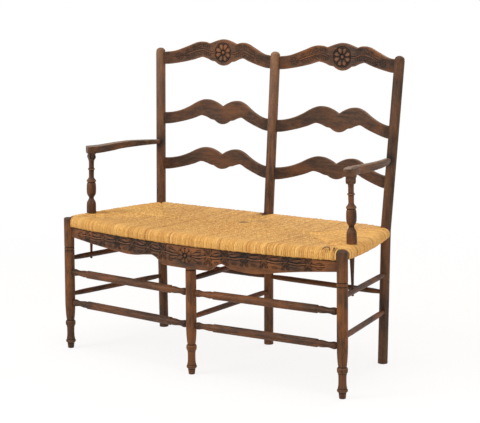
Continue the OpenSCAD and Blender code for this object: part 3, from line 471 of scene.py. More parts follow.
madeWoods = {}


def wood(title, axis):
    key = title + axis.upper() + "Oak"
    if key not in madeWoods:
        madeWoods[key] = makeWood(key, axis, finishes[title])
    return madeWoods[key]


def makeStraw():
    mat, tree, shader = newMaterial("packedStraw")
    where = objectSpace(tree)
    stalks = mottle(tree, where, (30, 420, 420), 3, 0.6, 0.3, 0.7)
    crossing = mottle(tree, where, (420, 40, 420), 3, 0.6, 0.42, 0.6)
    colour = blendColour(tree, stalks, shade(150, 108, 52), shade(226, 192, 126))
    feed(tree, shader["Base Color"], layered(tree, colour, [(times(tree, crossing, 0.5), (236, 208, 150))]))
    shader["Roughness"].default_value = 0.7
    addBump(tree, shader, plus(tree, stalks, crossing), 0.6, 0.001)
    return mat


# Rounds the facets of the turned pieces that come from the frame, without touching their meshes
creaseAngle = math.radians(34)
soften = bpy.data.node_groups.new("softShade", "GeometryNodeTree")
for way in ("INPUT", "OUTPUT"):
    soften.interface.new_socket("Geometry", in_out=way, socket_type="NodeSocketGeometry")
enter = soften.nodes.new("NodeGroupInput").outputs[0]
merged = addNode(soften, "GeometryNodeMergeByDistance", {"Geometry": enter, "Distance": 0.00002}).outputs[0]
rounded = addNode(soften, "GeometryNodeSetShadeSmooth", {"Geometry": merged}, domain="FACE").outputs[0]
angle = addNode(soften, "GeometryNodeInputMeshEdgeAngle").outputs["Unsigned Angle"]
sharp = addNode(soften, "FunctionNodeCompare", {"A": angle, "B": creaseAngle}, data_type="FLOAT",
                operation="GREATER_THAN").outputs[0]
creased = addNode(soften, "GeometryNodeSetShadeSmooth", {"Geometry": rounded, "Selection": sharp,
                                                         "Shade Smooth": False}, domain="EDGE").outputs[0]
feed(soften, soften.nodes.new("NodeGroupOutput").inputs[0], creased)

# The finish and the way of the grain, for the nodes whose names start like this; the filling is straw
finishOf = {
    ("post", "z"): ("back_post_left",), ("palePost", "z"): ("back_post_middle",),
    ("darkPost", "z"): ("back_post_right",), ("leg", "z"): ("front_leg",), ("bar", "z"): ("arm_support",),
    ("frontBar", "x"): ("front_stretcher",), ("bar", "y"): ("side_stretcher", "middle_stretcher"),
    ("dark", "x"): ("back_stretcher", "back_seat_rail", "front_seat_rail", "rush_seat"),
    ("dark", "y"): ("side_seat_rail", "apron_dowels"), ("slat", "x"): ("middle_slat", "lower_slat"),
    ("carved", "x"): ("crest_rail",), ("apron", "x"): ("front_apron",),
    ("arm", "y"): ("arm_left", "arm_right"),
}
straw = makeStraw()
for name, node in nodes.items():
    material = next((wood(*key) for key, starts in finishOf.items() if name.startswith(starts)), straw)
    for place in node.material_slots:
        place.material = material
    node.modifiers.new("softShade", "NODES").node_group = soften
print("wood finishes made")


# Boards: back slats, crest rails and the apron
def boardSection(frontRows, backRows, thick, ease):
    # one trip round a board: share of its height, extra height and depth, with eased corners of radius ease
    turn = [math.radians(a) for a in (30, 60, 90)]
    rows = [(s, 0, 0) for s in np.linspace(0, 1, frontRows)]
    rows += [(1, ease * math.sin(a), ease * (1 - math.cos(a))) for a in turn]
    rows += [(1, ease, thick / 2), (1, ease, thick - ease)]
    rows += [(1, ease * math.cos(a), thick - ease + ease * math.sin(a)) for a in turn]
    rows += [(s, 0, thick) for s in np.linspace(1, 0, backRows)[1:]]
    rows += [(0, -ease * math.sin(a), thick - ease * (1 - math.cos(a))) for a in turn]
    rows += [(0, -ease, thick / 2), (0, -ease, ease)]
    rows += [(0, -ease * math.cos(a), ease * (1 - math.sin(a))) for a in turn]
    return np.array(rows)


# The depth at which a cut gets its full painted shade, the plain margin round the carving, the width of the
# fully worn edge and how worn the raised parts are
boardLook = {"fullCut": 0.0022, "margin": 0.003, "edgeRound": 0.0006, "raisedWear": 0.8}


def boardPoints(col, row, xs, lows, tops, section, relief, wearDepth=0.004):
    # flat board: x along, z up, y the depth behind the front face; relief gives how deep each point is cut
    look, x = boardLook, xs[col]
    ease = section[:, 1].max()
    share, lift, depth = section[row].T
    high = tops[col] - lows[col]
    z = lows[col] + ease + share * (high - 2 * ease) + lift
    cutDepth, raised = relief(x, z) if relief else (np.zeros(len(x)), 0)
    front = smoothStep(0.6 * ease + 0.0001, 0.0, depth)
    fromEdge = np.minimum(z - lows[col], tops[col] - z)
    cutDepth = cutDepth * front * smoothStep(0.0, look["margin"], fromEdge)
    byHand = np.exp(-np.maximum(fromEdge - look["edgeRound"], 0) / wearDepth)
    worn = np.maximum(byHand, raised * front * look["raisedWear"])
    return x, depth + cutDepth, z, {"edge": worn, "cut": np.clip(cutDepth / look["fullCut"], 0, 1)}


# Chip carving: each cut gives a depth, and the deepest one counts
# A leaf's outline and vein, in shares of its own size, apart from the vein's width in metres
leafForm = {"line": 1.15, "lineWidth": 0.5, "veinDeep": 0.6, "veinWidth": 0.0009, "veinReach": 0.8}
# Shares of a rosette's radius, from the button in its middle to the scribed circle round it
rosetteForm = {
    "button": 0.2, "dish": 0.4, "dishSlope": 0.05, "petals": (0.36, 1.03),
    "petalRound": (0.34, 0.1, 1.02, 0.14), "petalGap": 0.045, "petalWidth": (0.01, 0.4),
    "vein": 0.56, "veinLength": 0.16, "veinWidth": 0.035, "circle": 1.15, "circleWidth": 0.08, "whole": 1.24,
}


def almond(x, z, centre, turn, length, width):
    # 0 in the middle line of a leaf shape, 1 on its outline, more outside; and the places along and across it
    c, s = math.cos(turn), math.sin(turn)
    a = ((x - centre[0]) * c + (z - centre[1]) * s) / (length / 2)
    b = (-(x - centre[0]) * s + (z - centre[1]) * c) / (width / 2)
    half = np.sqrt(np.clip(1 - np.abs(a) ** 1.7, 0, 1)) + 0.02
    return np.where(np.abs(a) > 1, 3 + np.abs(a), np.abs(b) / half), a, b * width / 2


def leafCut(x, z, centre, turn, length, width, depth):
    # a leaf that stays at the surface, with a cut line round it and a vein
    shape, a, across = almond(x, z, centre, math.radians(turn), length, width)
    form = leafForm
    vein = form["veinDeep"] * depth * rampDown(across, form["veinWidth"]) * (np.abs(a) < form["veinReach"])
    return np.maximum(depth * rampDown(shape - form["line"], form["lineWidth"]), vein), shape < 1.0


def rosetteCut(x, z, rosette):
    # a button, a dished ring, a row of round petals and a scribed circle
    # gives the depth, where the rosette is, how raised each point is and the distance from its middle
    form, petals = rosetteForm, rosette["petals"]
    across, up = x - rosette["centre"][0], z - rosette["centre"][1]
    away = np.hypot(across, up)
    r = away / rosette["radius"]
    turn = np.arctan2(up, across) * petals / (2 * math.pi)
    offset = np.abs(turn - np.floor(turn) - 0.5) * 2      # 0 on a petal's middle line, 1 between two petals
    halfTurn = math.pi * r / petals
    arc = offset * halfTurn
    start, startRound, end, endRound = form["petalRound"]
    reach = np.sqrt(np.clip(np.minimum((r - start) / startRound, (end - r) / endRound), 0, 1))
    halfWidth = reach * np.clip(halfTurn - form["petalGap"], *form["petalWidth"])
    petal = np.clip(arc / np.maximum(halfWidth, 0.001), 0, 1.6)      # 0 in a petal's middle, 1 on its outline
    (inner, outer), button, dish = form["petals"], form["button"], form["dish"]
    onPetal, onButton, inDish = (r > inner) & (r < outer), r <= button, (r > button) & (r <= dish)
    body = np.where(petal < 1, 0.22 * petal ** 3, np.clip(0.3 + (petal - 1) * 4, 0, 1))
    vein = 0.35 * rampDown(arc, form["veinWidth"]) * rampDown(r - form["vein"], form["veinLength"])
    deep = np.where(onPetal, np.maximum(body, vein), 0)
    hollow = np.clip((r - button) / form["dishSlope"], 0, 1) * np.clip((dish - r) / form["dishSlope"], 0, 1)
    deep = np.where(inDish, np.maximum(hollow, deep * (r > inner)), deep)
    deep = np.where(onButton, 0.05 + 0.3 * (r / button) ** 3, deep)
    circle = rosette["scribed"] * rampDown(r - form["circle"], form["circleWidth"])
    onBack = np.clip(1.15 - petal, 0, 1) * np.clip((r - inner) / 0.3, 0, 1)
    raised = np.where(onPetal, onBack, onButton * 0.9)
    return rosette["depth"] * np.maximum(deep, circle), r < form["whole"], raised, away


# Crest rails: the carving is the same on both sides of the rosette
crest = {
    "centre": (0, 0.0465), "radius": 0.0285, "petals": 8, "depth": 0.003, "scribed": 0.9, "leafDepth": 0.0022,
    "stem": [(0.036, 0.0462), (0.048, 0.0448), (0.060, 0.0492), (0.074, 0.0545), (0.090, 0.0545),
             (0.104, 0.0505), (0.120, 0.0445), (0.136, 0.0390), (0.150, 0.0335)],
    "stemHalf": 0.0022, "stemEdge": 0.0031, "stemCut": (0.0020, 0.0013),
    # how deep the ground is cut and how far it reaches from the leaves, and where the leaves start
    "ground": 0.0007, "groundFrom": (0.0035, 0.0005), "clearing": (0.035, 0.038), "flat": 0.0004,
    "wornLeaves": 0.45,
    # place, turn in degrees, length, width
    "leaves": [
        ((0.060, 0.0640), 78, 0.014, 0.0052), ((0.068, 0.0680), 90, 0.015, 0.0054),
        ((0.0765, 0.0690), 102, 0.013, 0.0050), ((0.056, 0.0385), 100, 0.013, 0.0050),
        ((0.064, 0.0400), 90, 0.015, 0.0054), ((0.072, 0.0425), 84, 0.013, 0.0050),
        ((0.096, 0.0655), 150, 0.020, 0.0070), ((0.092, 0.0420), 20, 0.020, 0.0066),
        ((0.112, 0.0590), 125, 0.016, 0.0062), ((0.121, 0.0545), 110, 0.014, 0.0056),
        ((0.108, 0.0375), 62, 0.014, 0.0056), ((0.118, 0.0330), 76, 0.014, 0.0056),
        ((0.136, 0.0480), 155, 0.017, 0.0062), ((0.134, 0.0275), 15, 0.017, 0.0060),
    ],
    "flower": (0.166, 0.0285), "flowerReach": (0.0088, 0.0066), "flowerLeaf": (0.0115, 0.0056),
}
(flowerX, flowerZ), (wide, tall) = crest["flower"], crest["flowerReach"]
for turn in range(8, 360, 60):
    bent = math.radians(turn)
    place = (flowerX + wide * math.cos(bent), flowerZ + tall * math.sin(bent))
    crest["leaves"].append((place, turn, *crest["flowerLeaf"]))


def distanceToLine(x, z, line):
    near = np.full(x.shape, 1.0)
    for (ax, az), (bx, bz) in zip(line[:-1], line[1:]):
        dx, dz = bx - ax, bz - az
        t = np.clip(((x - ax) * dx + (z - az) * dz) / (dx * dx + dz * dz), 0, 1)
        near = np.minimum(near, np.hypot(x - ax - t * dx, z - az - t * dz))
    return near


def crestCarving(x, z):
    cut, inRosette, raised, fromMiddle = rosetteCut(x, z, crest)
    side = np.abs(x)
    near = distanceToLine(side, z, crest["stem"])
    depth, width = crest["stemCut"]
    stemCut = depth * rampDown(near - crest["stemEdge"], width)
    body = near < crest["stemHalf"]
    total = np.zeros(x.shape)
    keep = np.zeros(x.shape, bool)
    spread = np.full(x.shape, 9.0)
    for centre, turn, length, width in crest["leaves"]:
        leaf, inside = leafCut(side, z, centre, turn, length, width, crest["leafDepth"])
        total = np.maximum(total, leaf)
        keep |= inside
        spread = np.minimum(spread, np.hypot(side - centre[0], z - centre[1]) - length / 2)
    ground = crest["ground"] * smoothStep(*crest["groundFrom"], spread) * ~keep * ~body
    total = np.maximum(np.maximum(total * ~body, stemCut * ~keep), ground)
    total = np.where(inRosette, 0, total * smoothStep(*crest["clearing"], fromMiddle))
    worn = crest["wornLeaves"] * (keep | (body & (total < crest["flat"])))
    return np.maximum(total, cut), np.maximum(raised * inRosette, worn)


slatShapes = {
    "crest_rail": {
        "z": 0.941, "end": 0.043, "lobe": 0.093, "shoulder": 0.083, "hollow": 0.0295, "point": 0.002,
        "columns": 371, "frontRows": 66, "ease": 0.0022, "relief": crestCarving, "finish": "carved"},
    "middle_slat": {
        "z": 0.732, "end": 0.0405, "high": 0.093, "notch": 0.0225, "hollow": 0.036, "point": 0.0085,
        "columns": 141, "frontRows": 14, "ease": 0.0026, "relief": None, "finish": "slat"},
    "lower_slat": {
        "z": 0.5725, "end": 0.0405, "high": 0.0855, "notch": 0.0215, "hollow": 0.035, "point": 0.0125,
        "columns": 141, "frontRows": 14, "ease": 0.0026, "relief": None, "finish": "slat"},
}
# Sizes that all six boards share; tenon is how far the outline's last height reaches into the post
slatBoard = {"thick": 0.011, "bow": 0.046, "ahead": 0.004, "stop": 0.004, "tenon": 0.002, "rightRise": 0.004,
             # the last three give the painted shade at the board's ends by the posts
             "rightShift": 0.0035, "backRows": 8, "postShade": 0.42, "shadeFrom": 0.050, "shadeTo": 0.002}


def slatOutline(shape):
    # top and lower edge: share of the half length, height over the lower edge at the posts
    end = shape["end"]
    if "lobe" in shape:
        lobe, shoulder = shape["lobe"], shape["shoulder"]
        fall = shoulder - end
        middle = smoothCurve([(0, lobe), (0.05, lobe - 0.001), (0.105, lobe - 0.004), (0.164, lobe - 0.0082),
                              (0.22, shoulder - 0.0028), (0.26, shoulder - 0.0055)])
        outer = smoothCurve([(0.26, shoulder - 0.0055), (0.32, shoulder - 0.0012), (0.38, shoulder),
                             (0.43, shoulder - 0.0008), (0.5, shoulder - 0.0048),
                             (0.59, shoulder - fall * 0.34), (0.68, shoulder - fall * 0.55),
                             (0.78, shoulder - fall * 0.78), (0.87, shoulder - fall * 0.92), (1, end)])
        top = np.vstack([middle, outer[1:]])
    else:
        high, notch = shape["high"], shape["high"] - shape["notch"]
        deep, fall = high - notch, high - end
        top = smoothCurve([(0, notch)] + [(s, high - deep * k) for s, k in (
            (0.046, 0.72), (0.092, 0.48), (0.15, 0.25), (0.21, 0.08))] + [(0.29, high)] + [
            (s, high - fall * k) for s, k in (
                (0.37, 0.04), (0.475, 0.22), (0.6, 0.53), (0.74, 0.8), (0.88, 0.955))] + [(1, end)])
    rise, point = shape["hollow"], shape["point"]
    drop = rise - point
    outer = smoothCurve([(1, 0), (0.88, rise * 0.07), (0.69, rise * 0.35), (0.52, rise * 0.68),
                         (0.43, rise * 0.92), (0.37, rise), (0.28, rise - drop * 0.19),
                         (0.21, rise - drop * 0.43), (0.16, rise - drop * 0.5)])
    middle = smoothCurve([(0.145, rise - drop * 0.52), (0.092, rise - drop * 0.79),
                          (0.046, rise - drop * 0.94), (0, point)])
    return top, np.vstack([outer, middle])[::-1]


def makeSlat(kind, bay):
    shape, board = slatShapes[kind], slatBoard
    z0 = shape["z"]
    half = abs(postAt(bay, z0).x) / 2
    middle = bay * half + (board["rightShift"] if bay > 0 else 0)
    reach = {side: abs(postAt(bay if side == bay else 0, z0).x - middle) - board["stop"] for side in (-1, 1)}
    chord = half - seat["postR"]
    clear = chord + board["tenon"]
    radius = (chord ** 2 + board["bow"] ** 2) / (2 * board["bow"])
    centreY = board["bow"] - board["ahead"] - radius
    xs = np.linspace(-reach[-1], reach[1], shape["columns"])
    share = np.minimum(np.abs(xs) / clear, 1)
    tops, lows = (np.interp(share, line[:, 0], line[:, 1]) for line in slatOutline(shape))
    section = boardSection(shape["frontRows"], board["backRows"], board["thick"], shape["ease"])
    rake = math.atan2(seat["backRake"], seat["backTop"] - seat["legTop"])
    tilt = math.atan2(board["rightRise"], 2 * half) if bay > 0 else 0
    turn = np.array(Matrix.Rotation(-rake, 3, "X") @ Matrix.Rotation(-tilt, 3, "Y"))
    origin = np.array((middle, postAt(bay, z0).y, z0))

    def place(col, row):
        x, depth, z, marks = boardPoints(col, row, xs, lows, tops, section, shape["relief"])
        # painted shade where the board goes into the posts
        postShade = board["postShade"] * smoothStep(clear - board["shadeFrom"], clear - board["shadeTo"], np.abs(x))
        marks["cut"] = np.maximum(marks["cut"], postShade)
        bent = (radius + depth) / radius
        y = centreY + np.sqrt(radius ** 2 - x ** 2) * bent
        spot = np.column_stack([x * bent, y, z]) @ turn.T + origin
        return *spot.T, marks

    name = sideName(kind, bay)
    mesh = wrappedMesh(name + "_board", shape["columns"], len(section), place)
    addPiece(name + "_board", mesh, wood(shape["finish"], "x"), [name])


for kind in slatShapes:
    for bay in (-1, 1):
        makeSlat(kind, bay)
print("slats and crest rails made")


# Front apron: its two wings differ a little, and the carving is the same on both sides of the rosette
apron = {
    "thick": 0.012, "endDepth": 0.033, "midDepth": 0.071, "leftWing": 0.53, "rightWing": 0.77, "top": 0.4187,
    "stop": 0.0045, "tenon": 0.002, "ease": 0.0012, "underRush": 0.0002,
    "columns": 843, "frontRows": 54, "backRows": 7, "wearDepth": 0.003,
    "centre": (-0.002, 0.388), "radius": 0.0240, "petals": 8, "depth": 0.0032, "scribed": 0.4,
    "stemEnd": 0.480, "stemHalf": 0.0021, "stemEdge": 0.0036, "stemCut": (0.0028, 0.0019),
    # the stem's height under the apron's top, how far it sinks towards the rosette, and its slight wave
    "stemDrop": 0.0190, "stemSink": 0.0105, "sinkFrom": (0.24, 0.02), "stemWave": 0.0016, "waveLength": 0.069,
    "wavePhase": 0.6, "ground": 0.0013, "groundFrom": (0.0042, 0.0010), "clearing": (0.0285, 0.0315),
    "flat": 0.0004, "wornStem": 0.9, "buttonReach": 0.006, "buttonWear": 1.2, "petalWear": 0.45,
    # the last two give the painted shadow that the rush casts along the apron's top: where it lies and how
    # dark it is
    "edgeWear": 0.75, "hiddenTop": 0.006, "rushShadowBand": (0.0042, 0.0024), "rushShadowStrength": 0.5,
    # places of the flowers, and the size of the first one and how much each next one is smaller
    "flowers": [0.088, 0.148, 0.217, 0.284, 0.355, 0.428], "flowerSize": (1.05, 0.035),
    # turn in degrees, reach from the flower's middle, length and width of its leaves
    "sprays": [(50, 0.0098, 0.0165, 0.0075), (130, 0.0098, 0.0165, 0.0075), (90, 0.0125, 0.0150, 0.0046),
               (66, 0.0225, 0.0125, 0.0052), (114, 0.0225, 0.0125, 0.0052)],
    # leaves between two flowers: height over the stem, turn, length in half gaps, width and how worn
    "between": [(0.0102, 7, 1.0, 0.0085, 1.0), (-0.0155, -9, 0.65, 0.0050, 0.7)],
    # place along the apron, height over the stem, turn in degrees, length, width and how worn each leaf is
    "leaves": [(0.047, 0.0095, 9, 0.034, 0.0085, 1.0), (0.047, -0.0095, -9, 0.034, 0.0085, 0.8),
               (0.054, 0.0190, 4, 0.022, 0.0060, 0.5), (0.056, -0.0190, -4, 0.022, 0.0060, 0.3),
               (0.462, 0.0060, 10, 0.022, 0.0066, 0.6), (0.462, -0.0062, -10, 0.022, 0.0066, 0.6)],
}


def apronEdge(wing):
    hollow = [(0, 1), (0.1, 0.985), (0.165, 0.95), (0.185, 0.86), (0.2, 0.73), (0.215, 0.56), (0.235, 0.39),
              (0.263, 0.25)]
    lobe = [(0.263, 0.25), (0.33, wing - 0.18), (0.39, wing - 0.05), (0.465, wing), (0.525, wing - 0.04),
            (0.63, wing * 0.47 + 0.14), (0.775, 0.25), (0.9, 0.1), (1, 0)]
    return np.vstack([smoothCurve(hollow, 3), smoothCurve(lobe)[1:]])


def apronLow(x):
    half = seat["frontHalf"] - seat["legR"] + apron["tenon"]
    share = np.minimum(np.abs(x) / half, 1)
    left, right = (np.interp(share, *apronEdge(apron[key]).T) for key in ("leftWing", "rightWing"))
    extra = apron["midDepth"] - apron["endDepth"]
    return apron["top"] - apron["endDepth"] - extra * np.where(x < 0, left, right)


def apronLeaves():
    leaves = []
    for number, middle in enumerate(apron["flowers"]):
        size = apron["flowerSize"][0] - apron["flowerSize"][1] * number
        for turn, reach, length, width in apron["sprays"]:
            a = math.radians(turn)
            along, up = middle + reach * math.cos(a) * size, reach * math.sin(a) * size
            leaves += [(along, way * up, way * turn, length * size, width * size, 0.0) for way in (1, -1)]
        if middle != apron["flowers"][-1]:
            gap = (apron["flowers"][number + 1] - middle) / 2
            leaves += [(middle + gap, up, turn, gap * length, width, worn)
                       for up, turn, length, width, worn in apron["between"]]
    return leaves + apron["leaves"]


def apronCarving(x, z):
    cut, inRosette, raised, fromMiddle = rosetteCut(x, z, apron)
    side = np.abs(x - apron["centre"][0])
    line = apron["top"] - apron["stemDrop"] - apron["stemSink"] * smoothStep(*apron["sinkFrom"], side)
    line = line + apron["stemWave"] * np.sin(side * 2 * math.pi / apron["waveLength"] + apron["wavePhase"])
    up = z - line
    near = np.abs(up)
    onStem = side < apron["stemEnd"]
    depth, width = apron["stemCut"]
    stemCut = depth * rampDown(near - apron["stemEdge"], width) * onStem
    body = (near < apron["stemHalf"]) & onStem
    total, wear = np.zeros(x.shape), np.zeros(x.shape)
    keep = np.zeros(x.shape, bool)
    spread = np.full(x.shape, 9.0)
    for cx, cz, turn, length, width, worn in apronLeaves():
        leaf, inside = leafCut(side, up, (cx, cz), turn, length, width, apron["depth"])
        total = np.maximum(total * ~inside, leaf)
        keep = (keep & (leaf < 0.001)) | inside
        wear = np.where(inside, worn, wear)
        if worn == 0:
            spread = np.minimum(spread, np.hypot((side - cx) / 1.3, up - cz) - width / 2)
    ground = apron["ground"] * smoothStep(*apron["groundFrom"], spread) * ~keep
    total = np.maximum(np.maximum(total * ~(body & (spread > 0.002)), stemCut * ~keep), ground)
    total = np.where(inRosette, 0, total * smoothStep(*apron["clearing"], fromMiddle))
    wear = np.where(keep, wear, apron["wornStem"] * (body & (total < apron["flat"])))
    inner = np.where(fromMiddle < apron["buttonReach"], apron["buttonWear"], apron["petalWear"])
    return np.maximum(total, cut), np.where(inRosette, raised * inner, wear)


def makeApron():
    reach = seat["frontHalf"] - apron["stop"]
    xs = np.linspace(-reach, reach, apron["columns"])
    lows = apronLow(xs)
    tops = np.full(len(xs), apron["top"] - apron["underRush"])
    section = boardSection(apron["frontRows"], apron["backRows"], apron["thick"], apron["ease"])
    radius = seat["bowRadius"]

    def place(col, row):
        x, depth, z, marks = boardPoints(col, row, xs, lows, tops, section, apronCarving, apron["wearDepth"])
        # the wear is on the lower edge only, because the rush hides the upper one
        below = tops[col] - z
        marks["edge"] = np.where(below < apron["hiddenTop"], 0, apron["edgeWear"] * marks["edge"])
        # painted shadow under the rush, along the top of the apron
        marks["cut"] = np.maximum(marks["cut"], apron["rushShadowStrength"] * smoothStep(*apron["rushShadowBand"], below))
        inner = radius - depth
        return x * inner / radius, seat["bowY"] - np.sqrt(radius ** 2 - x ** 2) * inner / radius, z, marks

    mesh = wrappedMesh("front_apron_board", apron["columns"], len(section), place)
    addPiece("front_apron_board", mesh, wood("apron", "x"), ["front_apron"])


makeApron()
print("apron made")


# Woven rush seat: four fields of strands that meet in mitred seams and one long middle seam
rush = {
    "pitch": 0.0058, "strandR": 0.0030, "sunk": 0.0023, "roll": 0.022, "dip": 0.006, "rollTurn": 82,
    "backOut": 0.017, "sideOut": 0.017, "swell": 0.010, "sag": 0.004, "frontTuck": 3.0,
    "legClear": 0.0155, "postClear": 0.0150, "seamWidth": 0.006, "seamDepth": 0.0026, "seamGap": 0.0003,
    "rows": (7, 12, 15),    # rows of the mesh under the seat, round the roll and over the top
    "across": (0.0, 0.07, 0.2, 0.36, 0.52, 0.68, 0.84, 0.95),   # where a strand's width is measured
    "dipAt": (0.022, 0.044, 0.086, 0.15, 0.3), "dipShare": (0, 0.22, 0.75, 1, 1),
    "wave": 0.09, "waveTurns": (135, 57), "drift": 0.0009, "driftTurns": 26,
    "thickness": (0.68, 1.12),      # of single strands, against the usual one
    # how the top falls away from the roll, the strands' way round the roll, and where their front look ends
    "topEase": 1.6, "rollArc": 0.02, "rollLength": 0.03, "frontBand": (0.085, 0.02),
    # where the right rear corner is worn, along x and along y, and how deep
    "wornX": (0.34, 0.50), "wornY": (-0.02, 0.17), "wornDeep": 0.0042,
    "postNear": (0.036, 0.0165), "postGap": 0.0012,
}
corner = legAt(1, seat["railZ"])
rear = postAt(1, seat["railZ"])
railVector = rear - corner
railVector.z = 0
railLength = railVector.length
railAlong = railVector / railLength
railOut = Vector((railAlong.y, -railAlong.x, 0))
railTurn = math.atan2(railVector.y, -railVector.x)
frontMitre = math.tan(railTurn / 2)
backMitre = 1 / frontMitre
seamY = corner.y + railLength * math.sin(railTurn) / 2


def strandEdges(low, high, seed, keepAt=None):
    # the lines between strands, a little uneven; keepAt is a place where one line has to fall
    rng = np.random.default_rng(seed)
    spans = [(low, high)] if keepAt is None else [(low, keepAt), (keepAt, high)]
    edges = [low]
    for a, b in spans:
        widths = rng.uniform(0.8, 1.2, int(round((b - a) / rush["pitch"])))
        edges += list(a + np.cumsum(widths) / widths.sum() * (b - a))
    return np.array(edges)


def weaveField(name, edges, plan, seed, skip=None, tuck=1.7):
    # plan(s) gives, for places s along the rail: the outermost point, the way in and the distance to the seam
    # tuck is how square the strands turn in under the rail
    count = len(edges) - 1
    across = np.array(rush["across"])
    s = np.concatenate([(edges[:-1, None] + (edges[1:] - edges[:-1])[:, None] * across).ravel(), edges[-1:]])
    strand = np.concatenate([np.repeat(np.arange(count), len(across)), [count - 1]])
    share = np.concatenate([np.tile(across, count), [1.0]])
    rng = np.random.default_rng(seed + 50)
    height = rng.uniform(*rush["thickness"], count)
    phase = rng.uniform(0, 6.28, (count, 3))
    start, way, length, sag = plan(s)
    under, rolled, over = rush["rows"]

    def place(col, row):
        c = strand[col]
        full = length[col] - rush["seamGap"]
        roll = np.minimum(rush["roll"], full * 0.8)
        below, onTop = row < under, row >= under + rolled
        onRoll = ~(below | onTop)
        a = np.radians(rush["rollTurn"] * (2 * (row - under) / (rolled - 1) - 1))
        # q is the way in from the outermost point
        q = np.where(onRoll, roll * np.where(a < 0, (1 - np.cos(a)) ** tuck, 1 - np.cos(a)), 0)
        q = np.where(below, roll + (full - roll) * (under - row) / under, q)
        t = (row - under - rolled + 1) / over
        q = np.where(onTop, roll + (full - roll) * (1 - (1 - t) ** rush["topEase"]), q)
        inner = np.clip((q - roll) / np.maximum(full - roll, 0.001), 0, 1)
        low = seat["rushLow"] - sag[col] * (1 - inner)
        middle = (low + seat["rushTop"]) / 2
        halfHigh = (seat["rushTop"] - low) / 2
        dip = rush["dip"] * np.interp(q, rush["dipAt"], rush["dipShare"])
        z = np.where(onRoll, middle + halfHigh * np.sin(a), np.where(onTop, seat["rushTop"] - dip, low))
        dive = rush["seamDepth"] * smoothStep(rush["seamWidth"], 0, full - q)
        z = np.where(onTop, z - dive, np.where(below, z + 0.5 * dive, z))
        outQ = np.where(onRoll, -np.cos(a), 0)
        outZ = np.where(onRoll, np.sin(a), np.where(onTop, 1.0, -1.0))
        # the round back of each strand, its thickness and its slight waves
        bulge = np.sqrt(np.clip(1 - (2 * share[col] - 1) ** 2, 0, 1)) * height[c]
        path = q + np.where(below, 1.0, 0.0)
        waves = sum(np.sin(path * turns + phase[c, k]) for k, turns in enumerate(rush["waveTurns"]))
        lift = rush["strandR"] * (bulge * (1 + rush["wave"] * waves)) - rush["sunk"]
        q = q + outQ * lift
        z = z + outZ * lift
        x, y = start[col, 0] + way[col, 0] * q, start[col, 1] + way[col, 1] * q
        worn = smoothStep(*rush["wornX"], x) * smoothStep(*rush["wornY"], y)
        z = z - rush["wornDeep"] * worn * np.clip((z - low) / (2 * halfHigh), 0, 1)
        drift = rush["drift"] * np.sin(path * rush["driftTurns"] + phase[c, 2])
        drift = drift * np.minimum(1, inner * 4) * np.minimum(1, (1 - inner) * 6)
        x, y = x - way[col, 1] * drift, y + way[col, 0] * drift
        if skip:
            x = skip(x, y)
        run = np.where(below, -q, np.where(onRoll, a * rush["rollArc"], rush["rollLength"] + q))
        run = run / rush["pitch"]
        onFront = np.where(onRoll, 1.0, np.where(onTop, smoothStep(*rush["frontBand"], q), 0))
        # cut is how far down a point lies between two strands, for the painted shade in the grooves
        return x, y, z, {"uv": (c + share[col] * 0.998 + 0.001, run), "cut": np.clip(1 - bulge * 1.6, 0, 1),
                         "edge": onFront}

    addPiece(name, wrappedMesh(name, len(s), sum(rush["rows"]), place), goldenRush, ["rush_seat"])


# Dark spots: place, radius, strength; worn rush, apart from the last one, which is painted shade where the
# middle post goes into the seat
rushSpots = [
    ((0.010, 0.031, 0.449), 0.018, 0.75), ((0.052, 0.080, 0.449), 0.026, 0.3),
    ((-0.493, -0.180, 0.455), 0.020, 0.3), ((-0.330, 0.000, 0.449), 0.36, 0.10),
    ((-0.009, 0.176, 0.452), 0.016, 0.9),
]
# Places where the lines between strands get stronger painted shade: place, radius
rushCreases = [((0.270, -0.070, 0.4495), 0.055), ((0.367, 0.000, 0.4495), 0.050)]


